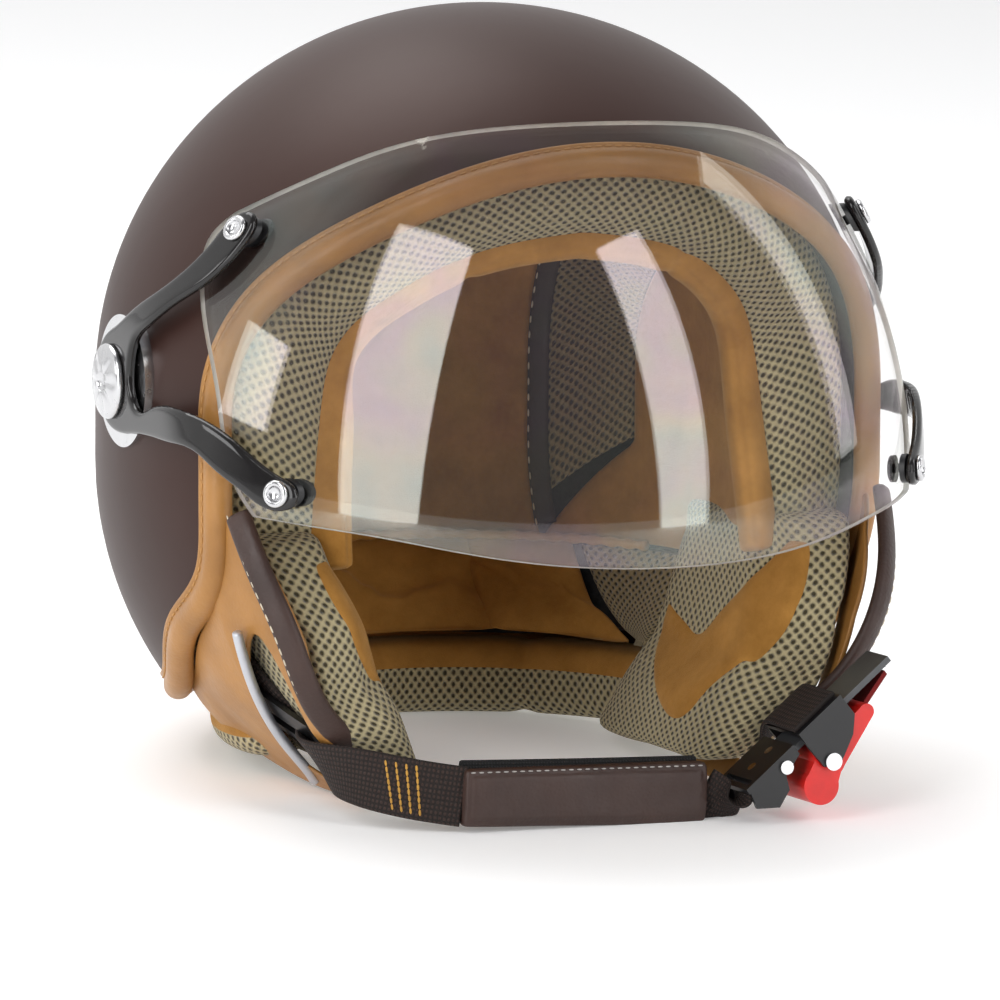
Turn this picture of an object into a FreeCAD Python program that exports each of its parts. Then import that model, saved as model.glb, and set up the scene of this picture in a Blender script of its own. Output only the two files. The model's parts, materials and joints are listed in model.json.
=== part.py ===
import FreeCAD, Part
import math
import os

# Open face helmet with a clear flip-up visor and a ratchet chin-strap buckle.
# Everything is modelled upright in millimetres: +X is the wearer's left, the face looks
# towards -Y, +Z is up, and the origin is the middle of the shell.  The finished pieces are
# then leaned back together onto the floor, where the helmet rests on its strap pad and
# neck roll.

V = FreeCAD.Vector
X_AXIS = V(1, 0, 0)
Y_AXIS = V(0, 1, 0)
Z_AXIS = V(0, 0, 1)
SIDES = {"left": 1, "right": -1}

# ---- driving dimensions -------------------------------------------------------------
SHELL_HALF = (123.5, 131.0, 122.5)    # half width, half length, height of each dome
SHELL_WALL = 24.0                     # straight height between the upper and lower domes
SHELL_THICKNESS = 4.0
CAVITY_HALF = (80.0, 96.0, 92.0)      # the room for the head
LINING = 8.0                          # comfort lining on the foam
JAW_HALF = (118.0, 250.0, 122.5)      # flatter outer form of the flaps and cheek pads
FIT_GAP = 0.3                         # gap between soft pieces

TRIM_WIDTH = (-6.0, -6.0)             # how far the edge trim reaches into the opening (y, z)
BROW_DEPTH = (18.0, 6.0)              # how far the foam's front edge sits behind the trim
BROW_BOTTOM = -50.0                   # brow pad ends here, cheek pads begin
LINING_BOTTOM = -58.0
REAR_PAD_BOTTOM = -88.0
CHEEK_BOTTOM = -116.0
STRIP_HALF = 50.0                     # half width of the crown's suede strip
MESH_HALF = 73.0                      # outer edge of the mesh windows beside it
CHEEK_REAR = 22.0
NECK_ROLL_TOP = -90.5
NECK_ROLL_BOTTOM = -118.0
NECK_HOLE_HALF = (61.0, 72.0)

PIVOT_Y = -1.3
PIVOT_Z = 5.1
PIVOT_BASE_RADIUS = 21.0
PIVOT_BASE_FACE = 124.4
HUB_FACES = (124.9, 128.1)            # inner and outer face of the flat hub of each bracket
PIVOT_HEAD_RADIUS = 12.0
PIVOT_HEAD_TOP = 131.2
BUSH_RADIUS = 6.0
PIVOT_SHANK_RADIUS = 3.0
RUNNING_GAP = 0.05

LENS_CENTRE = V(0, -10, -30)
LENS_HALF = (133.0, 136.0, 157.0)
LENS_THICKNESS = 2.0
BRACKET_GAP = 1.5                     # the bracket arms follow the lens at this distance
BRACKET_THICKNESS = 3.2
BRACKET_OUTLINE = ((14.2, 5), (11.5, 13.5), (5, 19.5), (-4.5, 23.3), (-16, 28.5), (-28, 34),
                   (-41, 43), (-47, 51.5), (-50, 58), (-55.5, 61), (-60, 57.5), (-59.5, 50),
                   (-52.5, 39.5), (-41, 32), (-29, 24.5), (-20, 19), (-16.5, 12), (-16.5, 4),
                   (-21.5, -1.5), (-37, 0.3), (-54, 1), (-66.5, -1.5), (-78.5, -7), (-93, -16.5),
                   (-98.5, -21), (-98, -25.5), (-92.5, -27.5), (-82.5, -22.5), (-72.5, -16.5),
                   (-64, -11.5), (-50, -10), (-36.5, -9.7), (-18, -10.2), (1, -9.6), (9.5, -4))
VISOR_SCREWS = ((-55.0, 55.0), (-93.5, -22.0))
VISOR_SCREW_RADIUS = 1.9
VISOR_HEAD_RADIUS = 4.3

STRAP_WIDTH = 22.0
STRAP_THICKNESS = 1.8
PAD_LENGTH = 83.0
PAD_HEIGHT = 20.0
PAD_THICKNESS = 9.0
PAD_CENTRE = V(-5.4, -93.0, -121.2)

BUCKLE_ORIGIN = V(68.8, -98.3, -102.7)
BUCKLE_ANGLE = 40.0                   # slope of the buckle, up towards the wearer's left
BUCKLE_HALF_WIDTH = 12.8
BUCKLE_WALL = 1.6
LEVER_PIVOT = (-2.7, 9.5)             # along the buckle, outwards from the tongue
LEVER_PIN_RADIUS = 1.9
LEVER_HALF_WIDTH = 10.6
TONGUE_HALF_WIDTH = 7.5

LEAN_BACK = 4.5                       # degrees the standing helmet leans back


# ---- helpers ------------------------------------------------------------------------
def ovoid(half, wall=SHELL_WALL, centre=V(0, 0, 0)):
    """Closed egg: a dome above and a dome below a straight wall, then scaled to size."""
    unit = 100.0
    half_width, half_length, half_height = half
    drop = wall * unit / half_height
    tip = unit * math.sqrt(0.5)
    upper = Part.Arc(V(0, 0, unit), V(tip, 0, tip), V(unit, 0, 0)).toShape()
    lower = Part.Arc(V(unit, 0, -drop), V(tip, 0, -drop - tip), V(0, 0, -drop - unit)).toShape()
    edges = [upper]
    if wall > 0:
        edges.append(Part.makeLine(V(unit, 0, 0), V(unit, 0, -drop)))
    edges += [lower, Part.makeLine(V(0, 0, -drop - unit), V(0, 0, unit))]
    solid = Part.Face(Part.Wire(edges)).revolve(V(0, 0, 0), Z_AXIS, 360)
    stretch = FreeCAD.Matrix()
    stretch.scale(half_width / unit, half_length / unit, half_height / unit)
    solid = solid.transformGeometry(stretch)
    solid.translate(centre)
    return solid


def inset(half, depth):
    return tuple(value - depth for value in half)


def shell_form(depth):
    return ovoid(inset(SHELL_HALF, depth))


def cavity_form(growth):
    return ovoid(inset(CAVITY_HALF, -growth))


def jaw_form(depth):
    return ovoid(inset(JAW_HALF, depth))


def block(low, high):
    size = V(*high) - V(*low)
    return Part.makeBox(size.x, size.y, size.z, V(*low))


def below(z):
    return block((-200, -250, -250), (200, 250, z))


def above(z):
    return block((-200, -250, z), (200, 250, 250))


def side_half(side):
    low, high = sorted((0, side * 200))
    return block((low, -250, -250), (high, 250, 250))


def across(edges, reach=200.0):
    """Solid across the whole width from a closed side-view outline."""
    outline = Part.Wire(edges)
    outline.translate(V(-reach, 0, 0))
    return Part.Face(outline).extrude(V(2 * reach, 0, 0))


def side_polygon(points):
    corners = [V(0, y, z) for y, z in points]
    return [Part.makePolygon(corners + corners[:1])]


def side_curve(points):
    curve = Part.BSplineCurve()
    curve.interpolate([V(0, y, z) for y, z in points])
    return curve.toShape()


OPENING_CURVE = ((-114, 110), (-87, 66), (-61, 37), (-50, 6), (-49.5, -28), (-44, -51),
                 (-19, -70), (6, -88), (32, -95), (150, -84))


def opening(shift=(0, 0)):
    """Everything in front of and below the helmet's edge, with the edge moved by shift."""
    points = [(y + shift[0], z + shift[1]) for y, z in OPENING_CURVE]
    first, last = points[0], points[-1]
    corners = [V(0, *last), V(0, last[0], -240), V(0, -240, -240), V(0, -240, first[1]), V(0, *first)]
    return across([side_curve(points), Part.makePolygon(corners)])


def edge_band(near, far):
    """The band between the edge moved by near and the edge moved by far."""
    return opening(near).cut(opening(far))


def cylinder_x(radius, low, high, y, z, side=1):
    """Cylinder along X between two distances from the middle plane, on one side."""
    start = V(low if side > 0 else -high, y, z)
    return Part.makeCylinder(radius, high - low, start, X_AXIS)


def single(shape):
    """The solid itself when a cut leaves just one, else all of them together."""
    solids = shape.Solids
    return solids[0] if len(solids) == 1 else Part.Compound(solids)


def largest(shape):
    return max(shape.Solids, key=lambda solid: solid.Volume)


# ---- shell, foam and linings ----------------------------------------------------------
def make_shell():
    shell = shell_form(0).cut(shell_form(SHELL_THICKNESS)).cut(opening())
    for side in SIDES.values():
        shell = shell.cut(cylinder_x(PIVOT_SHANK_RADIUS, 100, 140, PIVOT_Y, PIVOT_Z, side))
    return {"outer_shell": shell}


def make_trim():
    band = shell_form(-3.0).cut(shell_form(5.0))
    return {"edge_trim": band.common(edge_band((0, 0), TRIM_WIDTH))}


def make_foam():
    foam = shell_form(SHELL_THICKNESS + FIT_GAP).cut(cavity_form(LINING)).cut(opening(BROW_DEPTH))
    foam = largest(foam)
    for side in SIDES.values():
        foam = foam.cut(cylinder_x(9.0, 95, 130, PIVOT_Y, PIVOT_Z, side))
        pocket = sorted((side * 96, side * 130))
        foam = foam.cut(block((pocket[0], -40, -80), (pocket[1], -2, -49.5)))
    return {"foam_liner": foam}


def make_brow():
    band = edge_band(BROW_DEPTH, (3, 1)).common(above(BROW_BOTTOM))
    roll = cavity_form(6).cut(cavity_form(-6))
    roll = roll.common(edge_band(BROW_DEPTH, (5, 2))).common(above(BROW_BOTTOM))
    pad = shell_form(9).cut(cavity_form(6)).common(band)
    return {"brow_pad": largest(pad), "brow_piping": largest(roll)}


def make_linings():
    lining = cavity_form(LINING).cut(cavity_form(0)).cut(opening(BROW_DEPTH))
    upper = lining.common(above(LINING_BOTTOM))

    def between(low, high):
        return upper.common(block((min(low, high), -200, -200), (max(low, high), 200, 200)))
    pieces = {"crown_strip": between(-STRIP_HALF, STRIP_HALF)}
    for name, side in SIDES.items():
        pieces["crown_mesh_" + name] = between(side * STRIP_HALF, side * MESH_HALF)
        pieces["side_pad_" + name] = between(side * MESH_HALF, side * 200)
    rear = lining.common(below(LINING_BOTTOM)).common(above(REAR_PAD_BOTTOM))
    pieces["rear_pad"] = rear.common(block((-200, CHEEK_REAR + FIT_GAP, -200), (200, 200, 200)))
    return {name: largest(shape) for name, shape in pieces.items()}


def jaw_room():
    """Room between the cheek pads: straight front to back, narrower towards the chin."""
    upper_half, lower_half = 75.0, 48.0
    corners = [V(-upper_half, -250, BROW_BOTTOM), V(upper_half, -250, BROW_BOTTOM),
               V(66, -250, -85), V(lower_half, -250, -119), V(lower_half, -250, -240),
               V(-lower_half, -250, -240), V(-lower_half, -250, -119), V(-66, -250, -85)]
    return Part.Face(Part.makePolygon(corners + corners[:1])).extrude(V(0, 500, 0))


def make_cheeks():
    form = jaw_form(9).common(shell_form(8).fuse(block((-200, -250, -250), (200, -30, 250))))
    outline = [(CHEEK_REAR, BROW_BOTTOM - FIT_GAP), (-70, BROW_BOTTOM - FIT_GAP), (-80, -66),
               (-77, -88), (-72, -104), (-68, CHEEK_BOTTOM), (CHEEK_REAR, CHEEK_BOTTOM)]
    blank = form.common(across(side_polygon(outline))).cut(jaw_room())
    blank = blank.common(opening((BROW_DEPTH[0] + FIT_GAP, BROW_DEPTH[1] - FIT_GAP)))
    insert_outline = [(-54, -56), (-70, -58), (-54, -108), (12, -84), (12, -66), (-38, -88)]
    insert_zone = across(side_polygon(insert_outline))
    insert_depth = 3.0
    pieces = {}
    for name, side in SIDES.items():
        pad = largest(blank.common(side_half(side)))
        moved = pad.copy()
        moved.translate(V(side * insert_depth, 0, 0))
        insert = pad.cut(moved).common(insert_zone)
        insert = largest(insert)
        pieces["cheek_pad_" + name] = largest(pad.cut(insert))
        pieces["cheek_insert_" + name] = insert
    return pieces


def make_neck_roll():
    stretch = FreeCAD.Matrix()
    stretch.scale(NECK_HOLE_HALF[0] / 100.0, NECK_HOLE_HALF[1] / 100.0, 1)
    hole = Part.makeCylinder(100, 80, V(0, 0, -150)).transformGeometry(stretch)
    roll = shell_form(5.6).common(below(NECK_ROLL_TOP)).common(above(NECK_ROLL_BOTTOM)).cut(hole)
    roll = roll.common(block((-200, CHEEK_REAR + FIT_GAP, -200), (200, 200, 200)))
    return {"neck_roll": largest(roll)}


# ---- leather flaps beside the cheeks ---------------------------------------------------
FLAP_FRONT = ((-56, -34), (-70, -44), (-80, -62), (-79, -88), (-68, -112), (-60, -121))
SLOT_OUTLINE = ((-59, -70), (-68, -94), (-62, -125), (-28, -125), (-44, -94))


def make_flaps():
    sheet = jaw_form(0).cut(jaw_form(1.8))
    front = [V(0, y, z) for y, z in FLAP_FRONT]
    curve = Part.BSplineCurve()
    curve.interpolate(front)
    rear_corners = [front[-1], V(0, -20, -124), V(0, 8, -112), V(0, 18, -98), V(0, 18, -34), front[0]]
    zone = across([curve.toShape(), Part.makePolygon(rear_corners)])
    zone = zone.common(opening((TRIM_WIDTH[0] - 0.2, TRIM_WIDTH[1] - 0.2)))
    slot = across(side_polygon(SLOT_OUTLINE))
    piping_width = 5.0
    shifted = zone.copy()
    shifted.translate(V(0, -piping_width, 0))
    piping_zone = shifted.cut(zone).common(block((-200, -120, -100), (200, -50, -38)))
    piping = jaw_form(-1.0).cut(jaw_form(4.0)).common(piping_zone)
    slot_rim = across(side_polygon([(y + 2.5, z) for y, z in SLOT_OUTLINE])).cut(slot)
    rim_sheet = jaw_form(-1.2).cut(jaw_form(0)).common(slot_rim).common(zone)
    pieces = {}
    for name, side in SIDES.items():
        half = side_half(side)
        pieces["side_flap_" + name] = largest(sheet.common(zone).cut(slot).common(half))
        pieces["flap_piping_" + name] = largest(piping.common(half))
        pieces["reflective_piping_" + name] = largest(rim_sheet.common(half))
    return pieces


# ---- visor and its pivots --------------------------------------------------------------
def make_pivots():
    pieces = {}
    for name, side in SIDES.items():
        def turned(radius, low, high):
            return cylinder_x(radius, low, high, PIVOT_Y, PIVOT_Z, side)
        shank_hole = turned(PIVOT_SHANK_RADIUS, 90, 140)
        base = turned(PIVOT_BASE_RADIUS, 112, PIVOT_BASE_FACE).cut(shell_form(0)).cut(shank_hole)
        bush = turned(BUSH_RADIUS, PIVOT_BASE_FACE, HUB_FACES[1] + FIT_GAP).cut(shank_hole)
        head = turned(PIVOT_HEAD_RADIUS, HUB_FACES[1] + FIT_GAP, PIVOT_HEAD_TOP)
        rim = [edge for edge in head.Edges if abs(edge.CenterOfMass.x) > PIVOT_HEAD_TOP - 0.1]
        head = head.makeChamfer(0.8, rim)
        shank = turned(PIVOT_SHANK_RADIUS, 109, HUB_FACES[1] + FIT_GAP)
        nut = turned(7.0, 112, 118).cut(shank_hole)
        slot_low = sorted((side * (PIVOT_HEAD_TOP - 1.2), side * (PIVOT_HEAD_TOP + 1)))
        slot = block((slot_low[0], PIVOT_Y - 6, PIVOT_Z - 0.9),
                     (slot_low[1], PIVOT_Y + 6, PIVOT_Z + 0.9))
        pieces["pivot_base_" + name] = base
        pieces["pivot_bush_" + name] = bush
        pieces["pivot_screw_" + name] = head.fuse(shank).cut(slot)
        pieces["pivot_nut_" + name] = nut
    return {name: single(shape) for name, shape in pieces.items()}


def lens_outline():
    top = [(-125, 94), (-96, 90), (-82, 85), (-66, 74), (-45, 61)]
    bottom = [(-83, -30), (-101, -32), (-119, -35), (-146, -44), (-170, -50)]
    joining = [V(0, *top[-1]), V(0, -39, 54), V(0, -43, 41), V(0, -66, 5), V(0, -77, -22), V(0, *bottom[0])]
    front = [V(0, *bottom[-1]), V(0, -190, -50), V(0, -190, 94), V(0, *top[0])]
    return across([side_curve(top), Part.makePolygon(joining), side_curve(bottom), Part.makePolygon(front)])


def lens_form(depth):
    return ovoid(inset(LENS_HALF, depth), 0, LENS_CENTRE)


def bracket_form(distance, hub_face):
    """Follows the lens at a distance, but is flat at the hub."""
    return lens_form(-distance).common(block((-hub_face, -250, -250), (hub_face, 250, 250)))


def screw_tool(side, y, z, radius):
    return cylinder_x(radius, 90, 125, y, z, side)


def make_visor():
    lens_outer, lens_inner = lens_form(0), lens_form(LENS_THICKNESS)
    holes = [cylinder_x(VISOR_SCREW_RADIUS, -200, 200, y, z) for y, z in VISOR_SCREWS]
    lens = lens_outer.cut(lens_inner).common(lens_outline().cut(holes))
    outer_distance = BRACKET_GAP + BRACKET_THICKNESS
    bracket_inner = bracket_form(BRACKET_GAP, HUB_FACES[0])
    bracket_outer = bracket_form(outer_distance, HUB_FACES[1])
    outline = Part.BSplineCurve()
    outline.interpolate([V(0, y, z) for y, z in BRACKET_OUTLINE], PeriodicFlag=True)
    brackets = bracket_outer.cut(bracket_inner).common(across([outline.toShape()]).cut(holes))
    pieces = {}
    screws, spacers, nuts = [], [], []
    for name, side in SIDES.items():
        bush_hole = cylinder_x(BUSH_RADIUS + RUNNING_GAP, 100, 150, PIVOT_Y, PIVOT_Z, side)
        bracket = brackets.common(side_half(side)).cut(bush_hole)
        for y, z in VISOR_SCREWS:
            hole = screw_tool(side, y, z, VISOR_SCREW_RADIUS)
            spacer = screw_tool(side, y, z, 4.6).common(bracket_inner).cut(lens_outer).cut(hole)
            spacers.append(largest(spacer))
            head_form = screw_tool(side, y, z, VISOR_HEAD_RADIUS).cut(bracket_outer)
            head_form = head_form.common(lens_form(-outer_distance - 2.0))
            nut_form = screw_tool(side, y, z, VISOR_HEAD_RADIUS).common(lens_inner)
            nut_form = nut_form.cut(lens_form(LENS_THICKNESS + 1.2))
            shank = hole.common(bracket_outer).cut(lens_inner)
            screws.append(single(head_form.fuse(shank).removeSplitter()))
            nuts.append(largest(nut_form))
        pieces["visor_bracket_" + name] = largest(bracket)
    pieces["visor_lens"] = largest(lens)
    pieces["visor_screws"] = Part.Compound(screws)
    pieces["visor_spacers"] = Part.Compound(spacers)
    pieces["visor_nuts"] = Part.Compound(nuts)
    return pieces


# ---- chin strap ------------------------------------------------------------------------
def strip_section(centre, along, width_direction, width=STRAP_WIDTH, thickness=STRAP_THICKNESS):
    along = V(along)
    along.normalize()
    normal = along.cross(width_direction)
    normal.normalize()
    sideways = normal.cross(along)
    sideways.normalize()
    half_w, half_t = sideways * (width / 2), normal * (thickness / 2)
    corners = [centre + half_w + half_t, centre - half_w + half_t,
               centre - half_w - half_t, centre + half_w - half_t]
    return Part.makePolygon(corners + corners[:1])


def webbing(stations):
    """Flat strap through stations of centre, direction of run and direction of width."""
    return Part.makeLoft([strip_section(*station) for station in stations], True, True)


SIDE_STRAP_TOP = V(0, -23, -60)
SIDE_STRAP_END = V(0, -49, -112)


def make_side_straps():
    run = SIDE_STRAP_END - SIDE_STRAP_TOP
    run.normalize()
    sideways = V(0, -run.z, run.y) * (STRAP_WIDTH / 2)
    corners = [SIDE_STRAP_TOP + sideways, SIDE_STRAP_TOP - sideways,
               SIDE_STRAP_END - sideways, SIDE_STRAP_END + sideways]
    strip = across([Part.makePolygon(corners + corners[:1])])
    sheet = jaw_form(4.6).cut(jaw_form(4.6 + STRAP_THICKNESS))
    plate_zone = across(side_polygon([(-10, -51), (-34, -51), (-38, -77), (-16, -77)]))
    plate_sheet = jaw_form(6.6).cut(jaw_form(8.0))
    pieces = {}
    rivets = []
    for name, side in SIDES.items():
        rivet_hole = cylinder_x(2.4, 90, 118, -27, -70, side)
        upper_hole = cylinder_x(2.4, 90, 122, -22, -55.5, side)
        pieces["side_webbing_" + name] = largest(sheet.common(strip).common(side_half(side)).cut(rivet_hole))
        plate = plate_sheet.common(plate_zone).common(side_half(side))
        pieces["strap_anchor_" + name] = largest(plate.cut(rivet_hole).cut(upper_hole))
        rivets.append(single(rivet_hole.common(jaw_form(4.0)).cut(jaw_form(8.4))))
        rivets.append(single(upper_hole.common(jaw_form(6.0)).cut(jaw_form(8.4))))
    pieces["anchor_rivets"] = Part.Compound(rivets)
    return pieces


def make_chin_strap():
    pad_left = PAD_CENTRE.x - PAD_LENGTH / 2
    pad_right = PAD_CENTRE.x + PAD_LENGTH / 2
    core_half = PAD_HEIGHT / 2 - 1.0
    core = block((pad_left, PAD_CENTRE.y - STRAP_THICKNESS / 2, PAD_CENTRE.z - core_half),
                 (pad_right, PAD_CENTRE.y + STRAP_THICKNESS / 2, PAD_CENTRE.z + core_half))
    low = (pad_left, PAD_CENTRE.y - PAD_THICKNESS / 2, PAD_CENTRE.z - PAD_HEIGHT / 2)
    high = (pad_right, PAD_CENTRE.y + 1.5, PAD_CENTRE.z + PAD_HEIGHT / 2)
    sleeve = block(low, high)
    long_edges = [edge for edge in sleeve.Edges if abs(edge.tangentAt(edge.FirstParameter).x) > 0.9]
    sleeve = sleeve.makeFillet(2.0, long_edges).cut(core)
    lining = block((pad_left + 2, PAD_CENTRE.y + 1.5, low[2] + 1.5),
                   (pad_right - 2, PAD_CENTRE.y + 4.5, high[2] + 1.5))
    down = V(0, 0, -1)
    strap_width = 2 * core_half
    chin = webbing([
        (V(-79.5, -56.0, -110.0), V(-0.35, -0.92, -0.2), V(0.6, -0.1, -0.6), 20.0),
        (V(-82.5, -64.0, -112.0), V(-0.1, -0.98, -0.15), V(0.5, 0, -0.85), 20.0),
        (V(-78.5, -78.0, -114.0), V(0.5, -0.85, -0.15), V(0.4, 0, -0.9), 19.5),
        (V(-62.0, -89.5, -118.0), V(0.85, -0.45, -0.15), V(0.1, 0, -1), 19.0),
        (V(pad_left, PAD_CENTRE.y, PAD_CENTRE.z), X_AXIS, down, strap_width)])
    to_tongue = webbing([
        (V(pad_right, PAD_CENTRE.y, PAD_CENTRE.z), X_AXIS, down, strap_width),
        (V(40.2, -96.0, -121.4), V(0.85, -0.5, 0.1), V(0, 0.7, -0.7), 17.5),
        (V(44.0, -98.3, -120.7), V(0.77, 0, 0.64), Y_AXIS, 17.0)])
    slider_zone = across(side_polygon([(-31, -98), (-57, -110), (-62, -99), (-37, -87)]))
    slider_slots = across(side_polygon([(-36, -97.5), (-56, -107), (-57.5, -103.5), (-37.5, -94)]))
    slider = jaw_form(2.1).cut(jaw_form(4.3)).common(slider_zone).cut(slider_slots)
    slider = largest(slider.common(side_half(SIDES["right"])))
    return {"strap_pad": sleeve, "pad_lining": lining, "pad_webbing": core,
            "chin_webbing": chin, "tongue_webbing": to_tongue, "strap_slider": slider}


# ---- buckle ----------------------------------------------------------------------------
def at_buckle(shape):
    """Places a piece drawn with x along the buckle, y across it and -z outwards."""
    placed = shape.copy()
    placed.rotate(V(0, 0, 0), Y_AXIS, -BUCKLE_ANGLE)
    placed.translate(BUCKLE_ORIGIN)
    return placed


def buckle_block(along, across_width, outwards):
    return block((along[0], across_width[0], -outwards[1]), (along[1], across_width[1], -outwards[0]))


def buckle_prism(points, half_width):
    corners = [V(along, -half_width, -outwards) for along, outwards in points]
    return Part.Face(Part.makePolygon(corners + corners[:1])).extrude(V(0, 2 * half_width, 0))


def buckle_pin(radius, half_width, place=LEVER_PIVOT):
    return Part.makeCylinder(radius, 2 * half_width, V(place[0], -half_width, -place[1]), Y_AXIS)


def make_buckle():
    wall_shape = [(-6, -5.2), (12.5, -5.2), (12.5, 3), (8, 7.6), (2, 10.5), (-2.7, 12.6), (-6, 8.8)]
    walls = buckle_prism(wall_shape, BUCKLE_HALF_WIDTH)
    walls = walls.cut(buckle_prism(wall_shape, BUCKLE_HALF_WIDTH - BUCKLE_WALL))
    floor = buckle_block((-6, 12.5), (-BUCKLE_HALF_WIDTH, BUCKLE_HALF_WIDTH), (-5.2, -3.8))
    body = walls.fuse(floor).cut(buckle_pin(LEVER_PIN_RADIUS, 20)).removeSplitter()
    pin = buckle_pin(LEVER_PIN_RADIUS, BUCKLE_HALF_WIDTH)
    for sign in (1, -1):
        head_place = V(LEVER_PIVOT[0], sign * BUCKLE_HALF_WIDTH, -LEVER_PIVOT[1])
        head = Part.makeCylinder(2.8, 1.0, head_place, Y_AXIS * sign)
        pin = pin.fuse(head)
    spring_coils = []
    for offset in (-2.4, -1.2, 0.0, 1.2, 2.4):
        centre = V(LEVER_PIVOT[0], offset, -LEVER_PIVOT[1])
        spring_coils.append(Part.makeTorus(2.9, 0.5, centre, Y_AXIS))
    ends = ((-10.0, 13.8), (16.5, 6.2))
    lever = buckle_pin(6.0, LEVER_HALF_WIDTH, ends[0])
    lever = lever.fuse(buckle_pin(5.4, LEVER_HALF_WIDTH)).fuse(buckle_pin(2.6, LEVER_HALF_WIDTH, ends[1]))
    arm = [(-11.5, 8.2), (-2.7, 4.3), (16.5, 3.7), (17.5, 8.6), (-2.0, 14.8), (-9.0, 19.6)]
    lever = lever.fuse(buckle_prism(arm, LEVER_HALF_WIDTH)).removeSplitter()
    lever = lever.cut(buckle_pin(LEVER_PIN_RADIUS + RUNNING_GAP, 20)).cut(buckle_pin(4.0, 3.6))
    tab = buckle_prism([(19.3, 5.4), (19.3, 7.0), (31.0, 4.2), (31.0, 2.6)], 5.0)
    pawl = buckle_prism([(1.5, 4.0), (6.0, 3.9), (8.2, 2.0), (7.0, 2.0), (1.5, 3.0)], 6.0)
    rivets = []
    for along in (0.0, 8.5):
        rivets.append(Part.makeCylinder(2.2, 0.9, V(along, 0, 2.9), Z_AXIS))
    teeth = []
    tooth_pitch = 2.4
    for index in range(15):
        start = -4.0 + index * tooth_pitch
        tooth = [(start, 0.8), (start + tooth_pitch, 0.8), (start + tooth_pitch - 0.2, 1.6)]
        teeth.append(buckle_prism(tooth, TONGUE_HALF_WIDTH - 1.5))
    tongue = buckle_block((-26, 34), (-TONGUE_HALF_WIDTH, TONGUE_HALF_WIDTH), (-1.2, 0.8)).multiFuse(teeth)
    tongue = tongue.removeSplitter()
    plate = buckle_block((-30, -9), (-11, 11), (-3.2, -1.2)).cut(buckle_block((-28, -26), (-9, 9), (-4, 0)))
    cheek_shape = [(-29, -3.2), (-9.2, -3.2), (-9.2, 0.5), (-17, 2.8), (-19, 7), (-25, 9), (-31, 4)]
    plate = plate.fuse(buckle_prism(cheek_shape, 11.0).cut(buckle_prism(cheek_shape, 9.6))).removeSplitter()
    holes = [Part.makeCylinder(1.6, 12, V(along, 0, -6), Z_AXIS) for along in (-21.0, -13.5)]
    tongue_rivets = []
    for hole, along in zip(holes, (-21.0, -13.5)):
        plate = plate.cut(hole)
        tongue = tongue.cut(hole)
        shank = Part.makeCylinder(1.6, 4.0, V(along, 0, -0.8), Z_AXIS)
        outer_head = Part.makeCylinder(2.8, 0.9, V(along, 0, -1.7), Z_AXIS)
        tongue_rivets.append(shank.fuse(outer_head))
    for sign in (1, -1):
        head_place = V(-15.3, sign * 11.0, -0.6)
        tongue_rivets.append(Part.makeCylinder(2.2, 0.9, head_place, Y_AXIS * sign))
    pieces = {"buckle_body": body, "lever_pin": pin, "buckle_lever": lever, "pull_tab": tab,
              "lever_pawl": pawl, "ratchet_tongue": tongue, "tongue_plate": plate,
              "lever_spring": Part.Compound(spring_coils), "buckle_rivets": Part.Compound(rivets),
              "tongue_rivets": Part.Compound(tongue_rivets)}
    placed = {name: at_buckle(shape) for name, shape in pieces.items()}
    along = V(math.cos(math.radians(BUCKLE_ANGLE)), 0, math.sin(math.radians(BUCKLE_ANGLE)))
    inwards = V(-along.z, 0, along.x)
    seat = BUCKLE_ORIGIN + inwards * (5.3 + STRAP_THICKNESS / 2) + along * 3.0
    forward = V(0, -1, 0)
    placed["buckle_webbing"] = webbing([
        (V(73.0, -61.0, -108.7), forward, along, 18.0),
        (V(71.5, -72.0, -106.5), V(-0.2, -0.9, 0.3), along, 18.0),
        (V(69.8, -78.5, -102.2), V(-0.25, -0.7, 0.6), along, 18.0),
        (V(seat.x, -84.6, seat.z), forward, along, 18.0),
        (V(seat.x, BUCKLE_ORIGIN.y - 11.0, seat.z), forward, along, 18.0)])
    return placed


# ---- the standing helmet ----------------------------------------------------------------
def build_upright():
    pieces = {}
    for maker in (make_shell, make_trim, make_foam, make_brow, make_linings, make_cheeks, make_neck_roll,
                  make_flaps, make_pivots, make_visor, make_side_straps, make_chin_strap, make_buckle):
        pieces.update(maker())
    return pieces


def stand(pieces):
    """Leans every piece back and stands the whole on the plane z = 0, centred in x and y."""
    leaned = {}
    for name, shape in pieces.items():
        copy = shape.copy()
        copy.rotate(V(0, 0, 0), X_AXIS, -LEAN_BACK)
        leaned[name] = copy
    floor_cut = 1.0
    lowest = min(shape.optimalBoundingBox().ZMin for shape in leaned.values())
    under = below(lowest + floor_cut)
    for name, shape in leaned.items():
        if shape.optimalBoundingBox().ZMin < lowest + floor_cut:
            leaned[name] = single(shape.cut(under))
    box = Part.Compound(list(leaned.values())).optimalBoundingBox()
    shift = V(-box.Center.x, -box.Center.y, -box.ZMin)
    for shape in leaned.values():
        shape.translate(shift)
    print("lean", LEAN_BACK, "shift", tuple(round(value, 3) for value in shift),
          "size", round(box.XLength, 1), round(box.YLength, 1), round(box.ZLength, 1))
    return leaned


def main():
    os.makedirs("parts", exist_ok=True)
    for name, shape in stand(build_upright()).items():
        print(name, "solids", len(shape.Solids), "volume", round(shape.Volume), "valid", shape.isValid())
        shape.exportStep("parts/" + name + ".step")


main()
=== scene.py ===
import json
import math

import bmesh
import bpy
import numpy as np
from mathutils import Matrix, Vector
from mathutils.bvhtree import BVHTree

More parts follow.
